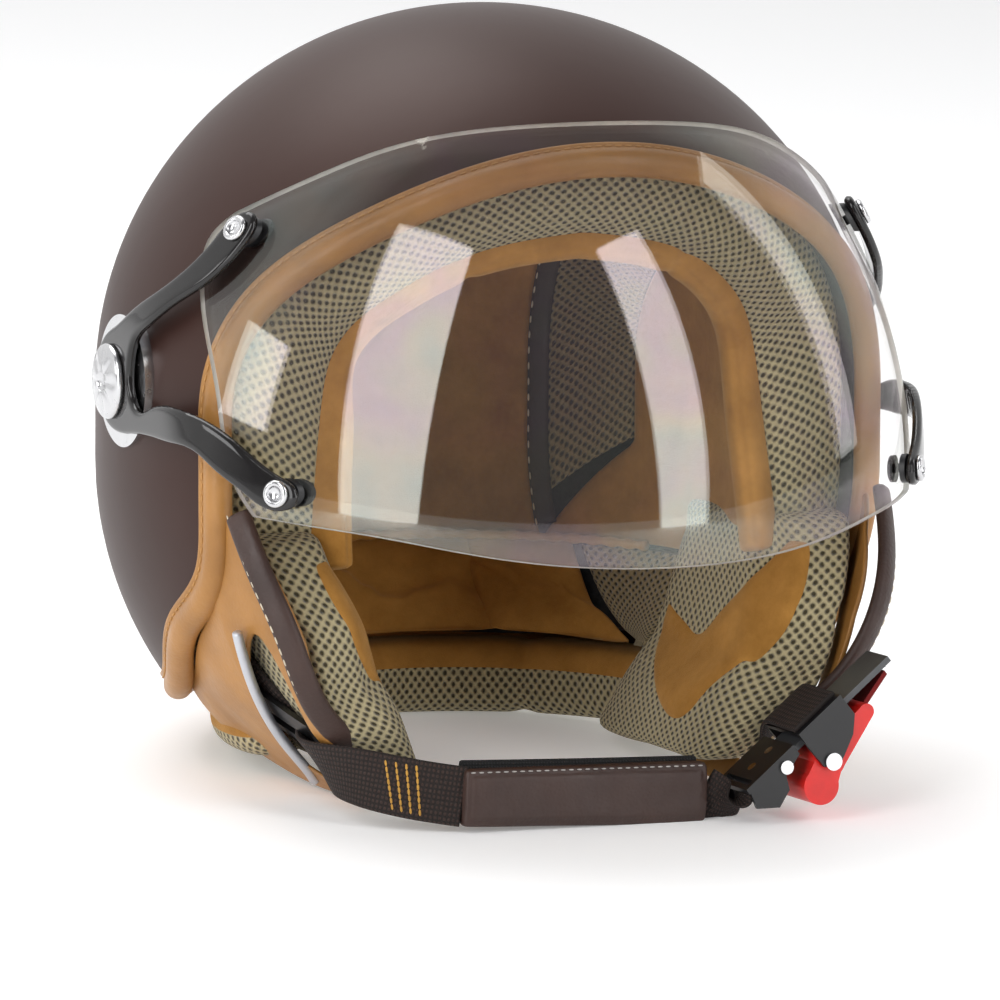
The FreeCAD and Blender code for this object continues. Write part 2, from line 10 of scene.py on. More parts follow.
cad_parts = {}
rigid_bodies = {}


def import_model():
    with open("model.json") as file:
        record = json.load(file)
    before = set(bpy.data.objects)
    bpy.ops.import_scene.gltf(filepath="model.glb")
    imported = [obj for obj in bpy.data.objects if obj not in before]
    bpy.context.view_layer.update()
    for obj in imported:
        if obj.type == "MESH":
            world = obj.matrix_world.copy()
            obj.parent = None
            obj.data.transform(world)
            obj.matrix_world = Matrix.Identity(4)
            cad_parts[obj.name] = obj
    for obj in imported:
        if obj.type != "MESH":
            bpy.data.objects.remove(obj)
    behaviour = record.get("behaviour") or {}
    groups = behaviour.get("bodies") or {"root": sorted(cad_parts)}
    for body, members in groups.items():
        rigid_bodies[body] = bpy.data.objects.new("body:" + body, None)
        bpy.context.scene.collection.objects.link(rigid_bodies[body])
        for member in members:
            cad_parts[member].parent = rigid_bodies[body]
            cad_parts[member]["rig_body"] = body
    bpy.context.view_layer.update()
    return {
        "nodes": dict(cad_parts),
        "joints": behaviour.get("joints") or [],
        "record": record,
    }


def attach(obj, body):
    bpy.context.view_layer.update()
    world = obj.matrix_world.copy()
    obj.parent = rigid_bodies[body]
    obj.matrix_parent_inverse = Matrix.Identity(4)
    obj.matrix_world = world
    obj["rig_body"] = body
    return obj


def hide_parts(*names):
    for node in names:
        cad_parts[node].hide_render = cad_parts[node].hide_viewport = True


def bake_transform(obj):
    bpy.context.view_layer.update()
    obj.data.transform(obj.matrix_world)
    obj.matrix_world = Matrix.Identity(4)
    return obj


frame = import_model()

# The helmet is shaped upright, in millimetres: +X is the wearer's left, the face looks
# towards -Y, and the origin is the middle of the shell.  Each piece is then leaned back
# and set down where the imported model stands.  Outlines in the side view are (y, z) pairs
# of the wearer's left, and the right side mirrors it.
MM = 0.001
SIDES = {"left": 1, "right": -1}
SHELL_HALF = (123.5, 131.0, 122.5)
SHELL_WALL = 24.0
JAW_HALF = (118.0, 250.0, 122.5)
CAVITY_HALF = (80.0, 96.0, 92.0)
LINING = 8.0                          # depth of the comfort lining round the head room
LINING_BACK = LINING - 0.4            # how deep the back of a lining panel lies
LENS_CENTRE = (0.0, -10.0, -30.0)
LENS_HALF = (133.0, 136.0, 157.0)
LENS_THICKNESS = 2.0
BRACKET_GAP = 1.5                     # between the lens and a bracket's arms
BRACKET_THICKNESS = 3.2
HUB_FACE = 124.9                      # inner face of the flat hub of each bracket
PIVOT = (0.0, -1.3, 5.1)
VISOR_SCREWS = ((-55.0, 55.0), (-93.5, -22.0))
OPENING_CURVE = ((-114, 110), (-87, 66), (-61, 37), (-50, 6), (-49.5, -28), (-44, -51),
                 (-19, -70), (6, -88), (32, -95), (150, -84))
LENS_TOP = ((-45, 61), (-66, 74), (-82, 85), (-96, 90), (-125, 94))
LENS_BOTTOM = ((-83, -30), (-101, -32), (-119, -35), (-146, -44), (-170, -50))
LENS_REAR = ((-83, -30), (-77, -22), (-66, 5), (-43, 41), (-39, 54), (-45, 61))

joints = {joint["name"]: joint for joint in frame["joints"]}


def standing():
    """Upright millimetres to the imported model's metres, by the visor's pivot and lever's axis."""
    axis = joints["lever_lift"]["axis"]
    lean = Matrix.Rotation(-math.atan2(-axis[2], axis[1]), 4, "X") @ Matrix.Scale(MM, 4)
    pivot = Vector(joints["visor_flip"]["pos_m"])
    return Matrix.Translation(pivot - lean @ Vector(PIVOT)) @ lean


STAND = standing()
STAND_ROWS = np.array(STAND)


def rows(points):
    """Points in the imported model's metres, none under the floor."""
    placed = np.asarray(points, float) @ STAND_ROWS[:3, :3].T + STAND_ROWS[:3, 3]
    placed[:, 2] = np.maximum(placed[:, 2], 0.0)
    return placed


def link(name, data):
    made = bpy.data.objects.new(name, data)
    bpy.context.scene.collection.objects.link(made)
    return made


# ---- camera, light and floor ---------------------------------------------------------
CAMERA_TURN = math.radians(23.3)
CAMERA_RISE = math.radians(6.2)
CAMERA_ROLL = math.radians(0.3)
CAMERA_DISTANCE = 2648.0
CAMERA_AIM = (5.6, -37.4)             # right and up of the shell's middle
CAMERA_LENS = 296.5
ROOM_LIGHT = ((0.02, (0.24, 0.24, 0.25)), (0.30, (1.0, 1.0, 1.0)))    # dark ahead, white behind
LIGHT_AIM = Vector((0.0, 0.0, 0.12))
LIGHTS = {                            # place, width, height and power
    "key_left": ((-1.32, -0.90, 0.85), 0.75, 2.1, 20.0),
    "key_right": ((0.78, -1.50, 0.85), 0.50, 2.1, 13.0),
    "strip_right": ((1.60, -0.05, 0.80), 0.30, 1.5, 4.0),
    "window_left": ((-1.60, 0.22, 0.55), 0.45, 0.45, 2.5),
    "top": ((-0.3, 0.9, 1.9), 1.3, 1.3, 18.0),
}
FLOOR_GLOW = 0.2


def add_camera():
    right = Vector((math.cos(CAMERA_TURN), -math.sin(CAMERA_TURN), 0))
    level = Vector((-math.sin(CAMERA_TURN), -math.cos(CAMERA_TURN), 0))
    back = level * math.cos(CAMERA_RISE) + Vector((0, 0, 1)) * math.sin(CAMERA_RISE)
    up = back.cross(right)
    right, up = (right * math.cos(CAMERA_ROLL) + up * math.sin(CAMERA_ROLL),
                 up * math.cos(CAMERA_ROLL) - right * math.sin(CAMERA_ROLL))
    place = back * CAMERA_DISTANCE + right * CAMERA_AIM[0] + up * CAMERA_AIM[1]
    turn = Matrix((right, up, back)).transposed().to_4x4()
    lean = STAND.to_quaternion().to_matrix().to_4x4()
    camera = link("camera", bpy.data.cameras.new("camera"))
    camera.data.lens = CAMERA_LENS
    camera.data.sensor_width = 36.0
    camera.data.clip_end = 20.0
    camera.matrix_world = Matrix.Translation(STAND @ place) @ lean @ turn
    bpy.context.scene.camera = camera


def add_light(name, place, width, height, power):
    light = bpy.data.lights.new(name, "AREA")
    light.energy = power
    light.shape = "RECTANGLE"
    light.size = width
    light.size_y = height
    lamp = link(name, light)
    lamp.location = place
    lamp.rotation_euler = (LIGHT_AIM - Vector(place)).to_track_quat("-Z", "Y").to_euler()


def add_studio():
    world = bpy.data.worlds.new("studio")
    world.use_nodes = True
    direction = add_node(world, "TexCoord").outputs["Generated"]
    ahead = add_node(world, "SeparateXYZ", {"Vector": direction}).outputs["Y"]
    background = world.node_tree.nodes["Background"]
    world.node_tree.links.new(add_ramp(world, ahead, ROOM_LIGHT), background.inputs["Color"])
    background.inputs["Strength"].default_value = 1.0
    bpy.context.scene.world = world
    for name, light in LIGHTS.items():
        add_light(name, *light)
    bpy.context.scene.view_settings.view_transform = "Standard"
    bpy.ops.mesh.primitive_plane_add(size=12, location=(0, 2, 0))
    floor = bpy.context.object
    floor.name = "floor"
    paper = plain("floor_white", (0.9, 0.9, 0.9), 0.7)
    tune(paper, {"Emission Color": (1.0, 1.0, 1.0, 1.0), "Emission Strength": FLOOR_GLOW})
    floor.data.materials.append(paper)


# ---- materials -----------------------------------------------------------------------
def shader_of(material):
    return material.node_tree.nodes["Principled BSDF"]


def tune(material, settings):
    for socket, value in settings.items():
        shader_of(material).inputs[socket].default_value = value


def plug(material, source, socket):
    material.node_tree.links.new(source, shader_of(material).inputs[socket])


def plain(name, colour, roughness, metallic=0.0):
    material = bpy.data.materials.new(name)
    material.use_nodes = True
    tune(material, {"Base Color": (*colour, 1.0), "Roughness": roughness, "Metallic": metallic})
    return material


def add_node(material, kind, inputs=(), **settings):
    """Adds a shader node; inputs map a socket to a value or to another node's output."""
    tree = material.node_tree
    made = tree.nodes.new("ShaderNode" + kind)
    for key, value in settings.items():
        setattr(made, key, value)
    for key, value in dict(inputs).items():
        if isinstance(value, bpy.types.NodeSocket):
            tree.links.new(value, made.inputs[key])
        else:
            made.inputs[key].default_value = value
    return made


def add_ramp(material, factor, stops):
    """Colour ramp from (position, colour) stops."""
    ramp = add_node(material, "ValToRGB", {"Fac": factor})
    while len(ramp.color_ramp.elements) < len(stops):
        ramp.color_ramp.elements.new(0.5)
    for element, (position, colour) in zip(ramp.color_ramp.elements, stops):
        element.position = position
        element.color = (*colour, 1.0)
    return ramp.outputs["Color"]


def place_in(material, kind="Object"):
    return add_node(material, "TexCoord").outputs[kind]


def set_bump(material, height, strength, distance, after=None):
    inputs = {"Height": height, "Strength": strength, "Distance": distance}
    if after is not None:
        inputs["Normal"] = after
    bump = add_node(material, "Bump", inputs)
    plug(material, bump.outputs["Normal"], "Normal")
    return bump.outputs["Normal"]


def noise(material, scale, detail=3.0, roughness=0.55):
    inputs = {"Scale": scale, "Detail": detail, "Roughness": roughness, "Vector": place_in(material)}
    return add_node(material, "TexNoise", inputs).outputs["Fac"]


def colour_by(material, factor, dark, light, low=0.3, high=0.7):
    plug(material, add_ramp(material, factor, ((low, dark), (high, light))), "Base Color")


def vary_roughness(material, factor, low, high):
    """Roughness between two (position, value) stops of a noise."""
    stops = [(position, (value,) * 3) for position, value in (low, high)]
    plug(material, add_ramp(material, factor, stops), "Roughness")


def make_paint():
    material = plain("shell_paint", (0.045, 0.026, 0.021), 0.46)
    colour_by(material, noise(material, 9.0), (0.026, 0.0100, 0.0075), (0.034, 0.0135, 0.0100))
    tune(material, {"Specular IOR Level": 0.3, "Specular Tint": (1.0, 0.82, 0.76, 1.0)})
    fine = set_bump(material, noise(material, 1500.0, 2.0), 0.05, 0.0001)
    set_bump(material, noise(material, 160.0, 2.0), 0.03, 0.0003, fine)
    return material


def make_leather(name, dark, light, roughness, grain=0.35):
    material = plain(name, light, roughness)
    colour_by(material, noise(material, 45.0, 5.0), dark, light)
    cells = add_node(material, "TexVoronoi", {
        "Scale": 950.0, "Randomness": 1.0, "Vector": place_in(material)}, feature="SMOOTH_F1")
    pores = set_bump(material, cells.outputs["Distance"], grain, 0.00035)
    set_bump(material, noise(material, 130.0, 4.0), 0.25, 0.0008, pores)
    vary_roughness(material, noise(material, 60.0, 4.0), (0.3, roughness - 0.07), (0.7, roughness + 0.1))
    return material


def make_suede(name, dark, light):
    material = plain(name, light, 0.95)
    colour_by(material, noise(material, 55.0, 6.0, 0.7), dark, light)
    tune(material, {"Sheen Weight": 0.35, "Sheen Roughness": 0.4, "Sheen Tint": (1.0, 0.78, 0.45, 1.0),
                    "Specular IOR Level": 0.15})
    fuzz = set_bump(material, noise(material, 2600.0, 3.0, 0.7), 0.5, 0.0004)
    set_bump(material, noise(material, 260.0, 4.0), 0.3, 0.0006, fuzz)
    return material


MESH_PITCH = (0.0040, 0.0041)         # metres from hole to hole, across and along


def make_spacer_mesh(name, thread, hole_shade):
    """Khaki knit with staggered holes, laid out in each piece's own surface coordinates."""
    material = plain(name, thread, 0.9)
    tune(material, {"Sheen Weight": 0.2, "Specular IOR Level": 0.2})
    flat = place_in(material, "UV")
    warp = add_node(material, "TexNoise", {"Vector": flat, "Scale": 180.0, "Detail": 1.0})
    shift = add_node(material, "VectorMath", {0: warp.outputs["Color"], 1: (0.0009, 0.0009, 0.0)},
                     operation="MULTIPLY")
    moved = add_node(material, "VectorMath", {0: flat, 1: shift.outputs["Vector"]}, operation="ADD")
    turned = add_node(material, "Mapping", {
        "Vector": moved.outputs["Vector"],
        "Rotation": (0.0, 0.0, math.radians(45)),
        "Scale": (math.sqrt(2) / MESH_PITCH[0], math.sqrt(2) / MESH_PITCH[1], 1.0)})
    cells = add_node(material, "TexVoronoi", {
        "Vector": turned.outputs["Vector"], "Scale": 1.0, "Randomness": 0.0},
        voronoi_dimensions="2D").outputs["Distance"]
    # The holes are real openings, but their dark colour is painted shade inside them; the crests between
    # them are a painted highlight, a little lighter than the thread.
    crest_highlight = tuple(1.12 * part for part in thread)
    plug(material, add_ramp(material, cells, ((0.20, hole_shade), (0.34, thread), (0.60, crest_highlight))), "Base Color")
    depth = add_ramp(material, cells, ((0.16, (0.0,) * 3), (0.42, (1.0,) * 3)))
    knit = set_bump(material, depth, 0.9, 0.0012)
    set_bump(material, noise(material, 2200.0, 2.0), 0.35, 0.0003, knit)
    return material


def make_webbing(name, dark, light, rib=0.0016):
    material = plain(name, light, 0.85)
    flat = place_in(material, "UV")
    bands = []
    for direction, size in (("X", rib), ("Y", rib * 0.9)):
        wave = add_node(material, "TexWave", {"Vector": flat, "Scale": 0.31 / size, "Distortion": 0.4},
                        bands_direction=direction, wave_type="BANDS")
        bands.append(wave.outputs["Fac"])
    crossed = add_node(material, "Math", {0: bands[0], 1: bands[1]}, operation="MULTIPLY")
    weave = crossed.outputs["Value"]
    colour_by(material, weave, dark, light, 0.05, 0.6)
    ribs = set_bump(material, weave, 0.8, 0.0006)
    set_bump(material, noise(material, 1800.0, 3.0), 0.4, 0.0003, ribs)
    return material


def make_metal(name, colour, roughness):
    material = plain(name, colour, roughness, 1.0)
    set_bump(material, noise(material, 900.0, 4.0, 0.7), 0.06, 0.0002)
    vary_roughness(material, noise(material, 240.0), (0.3, roughness - 0.06), (0.75, roughness + 0.12))
    return material


def make_plastic(name, colour, roughness, texture=0.08):
    material = plain(name, colour, roughness)
    dark, light = (tuple(share * part for part in colour) for share in (0.85, 1.15))
    colour_by(material, noise(material, 90.0), dark, light)
    set_bump(material, noise(material, 1300.0, 2.0), texture, 0.0002)
    return material


def make_foam_finish():
    material = plain("black_foam", (0.012, 0.012, 0.013), 0.9)
    cells = add_node(material, "TexVoronoi", {"Scale": 420.0, "Vector": place_in(material)})
    beads = cells.outputs["Distance"]
    colour_by(material, beads, (0.008, 0.008, 0.009), (0.017, 0.017, 0.018), 0.1, 0.6)
    set_bump(material, beads, 0.5, 0.0008)
    return material


PEARL = ((0.30, (0.80, 0.86, 0.76)), (0.42, (0.93, 0.82, 0.90)), (0.52, (0.95, 0.93, 0.84)),
         (0.62, (0.80, 0.90, 0.86)), (0.74, (0.90, 0.80, 0.92)))


def make_lens_finish():
    """Clear polycarbonate: mostly see-through, with a faint pearly reflection."""
    material = plain("clear_lens", (0.9, 0.9, 0.9), 0.03, 1.0)
    tree = material.node_tree
    plug(material, add_ramp(material, noise(material, 14.0, 3.0, 0.6), PEARL), "Base Color")
    clear = add_node(material, "BsdfTransparent", {"Color": (0.985, 0.985, 0.98, 1.0)})
    edge = add_node(material, "LayerWeight", {"Blend": 0.35}).outputs["Fresnel"]
    share = add_node(material, "MapRange", {"Value": edge, "From Min": 0.0, "From Max": 1.0,
                     "To Min": 0.05, "To Max": 0.45}).outputs["Result"]
    mix = add_node(material, "MixShader", {
        "Fac": share, 1: clear.outputs["BSDF"], 2: shader_of(material).outputs["BSDF"]})
    tree.links.new(mix.outputs["Shader"], tree.nodes["Material Output"].inputs["Surface"])
    return material


FINISHES = {
    "shell_paint": make_paint(),
    "tan_leather": make_leather("tan_leather", (0.31, 0.140, 0.030), (0.42, 0.198, 0.048), 0.42, 0.2),
    "brown_leather": make_leather("brown_leather", (0.032, 0.0145, 0.0105), (0.050, 0.024, 0.0175), 0.5),
    "tan_suede": make_suede("tan_suede", (0.30, 0.135, 0.025), (0.48, 0.235, 0.055)),
    "spacer_mesh": make_spacer_mesh("spacer_mesh", (0.40, 0.34, 0.20), (0.055, 0.045, 0.022)),
    "webbing": make_webbing("webbing", (0.010, 0.0055, 0.004), (0.042, 0.023, 0.018)),
    "black_fabric": make_webbing("black_fabric", (0.004, 0.004, 0.004), (0.022, 0.022, 0.023), 0.0011),
    "red_fabric": make_webbing("red_fabric", (0.18, 0.003, 0.003), (0.55, 0.012, 0.010), 0.0011),
    "black_foam": make_foam_finish(),
    "black_gloss": make_plastic("black_gloss", (0.010, 0.009, 0.009), 0.07, 0.0),
    "black_plastic": make_plastic("black_plastic", (0.008, 0.008, 0.009), 0.36),
    "grey_plastic": make_plastic("grey_plastic", (0.055, 0.058, 0.062), 0.3),
    "red_plastic": make_plastic("red_plastic", (0.72, 0.012, 0.008), 0.3, 0.03),
    "bright_steel": make_metal("bright_steel", (0.62, 0.62, 0.63), 0.2),
    "dark_steel": make_metal("dark_steel", (0.20, 0.20, 0.21), 0.3),
    "reflective_piping": make_metal("reflective_piping", (0.62, 0.64, 0.68), 0.55),
    "clear_lens": make_lens_finish(),
    # A darker copy of the spacer mesh: painted shade for the mesh panels deep inside the head room.
    "mesh_painted_shade": make_spacer_mesh("mesh_painted_shade", (0.27, 0.21, 0.115), (0.04, 0.03, 0.015)),
    "binding": make_leather("binding", (0.020, 0.012, 0.009), (0.034, 0.021, 0.016), 0.6),
    # Pale opaque finish for the clear lens's edge: a painted highlight standing in for the light caught
    # along its rim.
    "lens_edge_highlight": make_plastic("lens_edge_highlight", (0.55, 0.52, 0.48), 0.12, 0.0),
}
THREAD_COLOURS = {"tan": (0.46, 0.24, 0.075), "cream": (0.62, 0.55, 0.42), "ochre": (0.50, 0.26, 0.04),
                  "grey": (0.40, 0.38, 0.36)}
THREADS = {name: make_plastic("thread_" + name, colour, 0.7) for name, colour in THREAD_COLOURS.items()}


# ---- curves and forms ----------------------------------------------------------------
def egg(z, height, wall=SHELL_WALL):
    """Share of its full width and length that an egg has at height z, squared."""
    z = np.asarray(z, float)
    beyond = np.where(z > 0, z, np.minimum(z + wall, 0.0)) / height
    return 1.0 - beyond ** 2


def side_x(half, y, z, wall=SHELL_WALL, centre=(0.0, 0.0, 0.0)):
    """Half width of an egg at a point of the side view."""
    y = np.asarray(y, float) - centre[1]
    inside = egg(np.asarray(z, float) - centre[2], half[2], wall) - (y / half[1]) ** 2
    return half[0] * np.sqrt(np.clip(inside, 0.0, None))


def side_normals(half, points, wall=SHELL_WALL, centre=(0.0, 0.0, 0.0)):
    offset = np.asarray(points, float) - centre
    beyond = np.where(offset[..., 2] > 0, offset[..., 2], np.minimum(offset[..., 2] + wall, 0.0))
    slope = np.stack([offset[..., 0], offset[..., 1], beyond], -1) / np.square(half)
    return slope / np.linalg.norm(slope, axis=-1, keepdims=True)


def inset(half, depth):
    return tuple(value - depth for value in half)


def even(points, count, closed=False):
    """The same line with evenly spaced points."""
    points = np.asarray(points, float)
    if closed:
        points = np.vstack([points, points[:1]])
    lengths = np.concatenate([[0.0], np.cumsum(np.linalg.norm(np.diff(points, axis=0), axis=1))])
    at = np.linspace(0.0, lengths[-1], count, endpoint=not closed)
    return np.stack([np.interp(at, lengths, column) for column in points.T], -1)


def smooth_path(points, count):
    """Evenly spaced points on a natural cubic spline through the given ones."""
    points = np.asarray(points, float)
    knots = np.concatenate([[0.0], np.cumsum(np.linalg.norm(np.diff(points, axis=0), axis=1))])
    steps = np.diff(knots)[:, None]
    size = len(points)
    matrix = np.eye(size)
    pull = np.zeros_like(points)
    for i in range(1, size - 1):
        matrix[i, i - 1:i + 2] = steps[i - 1, 0], 2 * (steps[i - 1, 0] + steps[i, 0]), steps[i, 0]
        pull[i] = 6 * ((points[i + 1] - points[i]) / steps[i] - (points[i] - points[i - 1]) / steps[i - 1])
    bend = np.linalg.solve(matrix, pull)
    at = np.linspace(0.0, knots[-1], 3000)
    part = np.clip(np.searchsorted(knots, at, side="right") - 1, 0, size - 2)
    span = steps[part]
    b = (at[:, None] - knots[part][:, None]) / span
    a = 1.0 - b
    dense = a * points[part] + b * points[part + 1]
    dense += ((a ** 3 - a) * bend[part] + (b ** 3 - b) * bend[part + 1]) * span ** 2 / 6
    return even(dense, count)


def mirrored(points, side):
    return np.asarray(points, float) * (side, 1.0, 1.0)


def both_sides(half_path):
    """A path that starts on the middle plane, continued as its mirror image on the right."""
    half_path = np.asarray(half_path, float)
    return np.vstack([mirrored(half_path, -1)[:0:-1], half_path])


def rim_half(shift=(0.0, 0.0), depth=0.0, count=220):
    """The shell's edge on the left from brow to nape, moved in the side view and sunk by depth."""
    half = inset(SHELL_HALF, depth)
    line = smooth_path(OPENING_CURVE, 5000) + shift
    room = egg(line[:, 1], half[2]) - (line[:, 0] / half[1]) ** 2
    inside = np.flatnonzero(room > 0)
    line = line[inside[0]:inside[-1] + 1]
    points = np.column_stack([side_x(half, line[:, 0], line[:, 1]), line])
    points[0, 0] = points[-1, 0] = 0.0
    return even(points, count)


def ramp(value, start, end):
    """Rises from 0 at start to 1 at end, whichever of them is greater."""
    return np.clip((value - start) / (end - start), 0, 1)


def dip(distance, width, depth):
    """Share left of a full size near a seam or a fold."""
    return 1.0 - depth * np.exp(-(distance / width) ** 2)


def unit(vectors):
    return vectors / np.maximum(np.linalg.norm(vectors, axis=-1, keepdims=True), 1e-9)


def tangents(path, closed=False):
    if closed:
        return unit(np.roll(path, -1, axis=0) - np.roll(path, 1, axis=0))
    return unit(np.gradient(path, axis=0))


def sweep(path, outward, sections, closed=False):
    """Grid of points: each station's section of (sideways, outward) pairs set across the path."""
    along = tangents(path, closed)
    outward = unit(outward - along * np.sum(outward * along, axis=1, keepdims=True))
    sideways = np.cross(along, outward)
    sections = np.asarray(sections, float)
    sections = np.broadcast_to(sections, (len(path),) + sections.shape[-2:])
    return path[:, None] + sections[..., :1] * sideways[:, None] + sections[..., 1:] * outward[:, None]


def full_turn(count):
    return np.linspace(0, 2 * math.pi, count, endpoint=False)


def circle(count):
    return np.cos(full_turn(count)), np.sin(full_turn(count))


def oval(half_side, half_out, count=20, power=2.0):
    """Ring of points, squarer as the power grows above 2."""
    side, out = (np.sign(wave) * np.abs(wave) ** (2 / power) for wave in circle(count))
    return np.column_stack([half_side * side, half_out * out])


# ---- building pieces -----------------------------------------------------------------
def grid_faces(count_a, count_b, close_a, close_b):
    """Corner numbers of a grid's faces, and their places along its two directions."""
    first_corners = np.arange(count_a - (not close_a)), np.arange(count_b - (not close_b))
    a, b = np.meshgrid(*first_corners, indexing="ij")
    corners_a = np.stack([a, a + 1, a + 1, a], -1).reshape(-1, 4)
    corners_b = np.stack([b, b, b + 1, b + 1], -1).reshape(-1, 4)
    faces = (corners_a % count_a) * count_b + corners_b % count_b
    return faces, np.stack([corners_a, corners_b], -1)


def surface_uv(grid, close_a, close_b):
    """Distances in metres along the grid's two directions, for its corners and closing corners."""
    wide = grid
    if close_a:
        wide = np.concatenate([wide, wide[:1]], 0)
    if close_b:
        wide = np.concatenate([wide, wide[:, :1]], 1)
    step_a = np.linalg.norm(np.diff(wide, axis=0), axis=2)
    step_b = np.linalg.norm(np.diff(wide, axis=1), axis=2)
    along_a = np.concatenate([[0.0], np.cumsum(step_a.max(axis=1))])
    along_b = np.concatenate([[0.0], np.cumsum(np.percentile(step_b, 80, axis=0))])
    u, v = np.meshgrid(along_a, along_b, indexing="ij")
    return np.stack([v, u], -1) * MM


def finish_piece(name, mesh, body, finishes, replaces=()):
    piece = link(name, mesh)
    for finish in finishes:
        mesh.materials.append(finish)
    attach(piece, body)
    if replaces:
        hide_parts(*replaces)
    return piece


def add_grid(name, grid, slot_name, body="root", close_a=False, close_b=False, finishes=None, region=None,
             replaces=()):
    """Piece from a grid of points, its tube ends closed; region picks a finish by grid place."""
    count_a, count_b = grid.shape[:2]
    faces, places = grid_faces(count_a, count_b, close_a, close_b)
    flat_uv = surface_uv(grid, close_a, close_b)
    corner_uv = flat_uv[places[..., 0], places[..., 1]].reshape(-1, 2)
    faces = faces.tolist()
    picks = np.zeros(len(faces), int)
    if region is not None:
        picks = region(places[..., 1].mean(axis=1) / count_b).astype(int)
    if close_b and not close_a:
        for ring in (list(range(count_b))[::-1], list(range((count_a - 1) * count_b, count_a * count_b))):
            faces.append(ring)
            corner_uv = np.vstack([corner_uv, np.zeros((count_b, 2))])
            picks = np.append(picks, picks[0] if ring[0] else picks[-1])
    mesh = bpy.data.meshes.new(name)
    mesh.from_pydata(rows(grid.reshape(-1, 3)).tolist(), [], faces)
    layer = mesh.uv_layers.new(name="UVMap")
    layer.data.foreach_set("uv", corner_uv.astype(np.float32).ravel())
    mesh.polygons.foreach_set("material_index", picks.astype(np.int32))
    mesh.polygons.foreach_set("use_smooth", np.ones(len(faces), bool))
    mesh.update()
    if close_b or close_a:
        tidy_normals(mesh)
    return finish_piece(name, mesh, body, finishes or [FINISHES[slot_name]], replaces)


def tidy_normals(mesh):
    edit = bmesh.new()
    edit.from_mesh(mesh)
    bmesh.ops.recalc_face_normals(edit, faces=edit.faces)
    edit.to_mesh(mesh)
    edit.free()


def slab(front, back):
    """Closed loops of columns: the front grid's, then the back grid's in reverse."""
    return np.concatenate([front, back[:, ::-1]], axis=1)


def soften(piece):
    smooth = piece.modifiers.new("smooth", "SUBSURF")
    smooth.levels = 1
    smooth.render_levels = 1
    return piece


CLOTH_STEPS = 20


def inflate(piece, pressure, cap):
    """Swells a closed pad by cloth simulation, with no point moved more than cap mm."""
    scene = bpy.context.scene
    rest = np.array([vertex.co for vertex in piece.data.vertices])
    cloth = piece.modifiers.new("cloth", "CLOTH")
    cloth.settings.quality = 4
    cloth.settings.mass = 0.3
    cloth.settings.use_pressure = True
    cloth.settings.uniform_pressure_force = pressure
    cloth.settings.effector_weights.gravity = 0.0
    cloth.collision_settings.use_collision = False
    for step in range(CLOTH_STEPS):
        scene.frame_set(step + 1)
    swollen = piece.evaluated_get(bpy.context.evaluated_depsgraph_get())
    moved = np.array([vertex.co for vertex in swollen.data.vertices]) - rest
    piece.modifiers.remove(cloth)
    scene.frame_set(1)
    reach = np.linalg.norm(moved, axis=1, keepdims=True)
    moved *= np.minimum(1.0, cap * MM / np.maximum(reach, 1e-9))
    placed = rest + moved
    placed[:, 2] = np.maximum(placed[:, 2], 0.0)
    piece.data.vertices.foreach_set("co", placed.ravel())
    piece.data.update()
    return piece


STITCH_RINGS = ((-0.5, 0.35), (-0.3, 0.9), (0.0, 1.0), (0.3, 0.9), (0.5, 0.35))    # place, thickness


def add_stitches(name, path, outward, thread, pitch, length, radius, closed=False):
    """A row of thread stitches along a path, each a small spindle lying on the surface."""
    count = max(int(np.linalg.norm(np.diff(path, axis=0), axis=1).sum() / pitch), 2)
    joined = even(np.hstack([path, outward]), count, closed)
    places, ups = joined[:, :3], unit(joined[:, 3:])
    along = tangents(places, closed)
    sideways = np.cross(along, ups)
    corners = 6
    around = list(zip(*circle(corners)))
    points = []
    for shift, thickness in STITCH_RINGS:
        for side, up in around:
            rise = radius * thickness * (sideways * side + ups * up)
            points.append(places + along * (shift * length) + rise)
    points = np.stack(points, 1)
    faces = []
    size = len(points[0])
    ring_faces, _ = grid_faces(len(STITCH_RINGS), corners, False, True)
    ends = [list(range(corners))[::-1], list(range(size - corners, size))]
    for index in range(count):
        faces += (ring_faces + index * size).tolist()
        faces += [[corner + index * size for corner in end] for end in ends]
    mesh = bpy.data.meshes.new(name)
    mesh.from_pydata(rows(points.reshape(-1, 3)).tolist(), [], faces)
    mesh.polygons.foreach_set("use_smooth", np.ones(len(faces), bool))
    finish_piece(name, mesh, "root", [THREADS[thread]])


def lathe(name, profile, place, axis_out, slot_name, body, count, facet=None, replaces=()):
    """Turned piece of (radius, height) pairs; facet may raise a point by its angle."""
    axis_out = Vector(axis_out).normalized()
    first = axis_out.orthogonal().normalized()
    second = axis_out.cross(first)
    angle = full_turn(count)
    grid = np.zeros((len(profile), count, 3))
    for i, (radius, height) in enumerate(profile):
        lift = height + (facet(radius, angle) if facet else 0.0)
        ring = np.outer(radius * np.cos(angle), first) + np.outer(radius * np.sin(angle), second)
        grid[i] = ring + np.outer(np.broadcast_to(lift, angle.shape), axis_out) + np.asarray(place)
    return add_grid(name, grid, slot_name, body, close_b=True, replaces=replaces)


# ---- shell and edge trim -------------------------------------------------------------
# Sideways from the shell's edge, and outward from its face.
TRIM_SECTION = ((-3.0, -0.1), (-3.2, 0.7), (-2.6, 1.15), (-1.7, 1.15), (-1.2, 0.85), (-0.7, 1.0),
                (0.2, 1.7), (1.6, 2.7), (3.4, 3.2), (5.4, 2.9), (7.2, 1.7), (8.3, -0.2), (8.5, -2.2),
                (7.6, -4.1), (5.6, -5.3), (3.0, -5.5), (0.4, -5.1), (0.3, -2.5), (0.3, -0.1))
STITCH_LINE = (-1.2, 1.0)


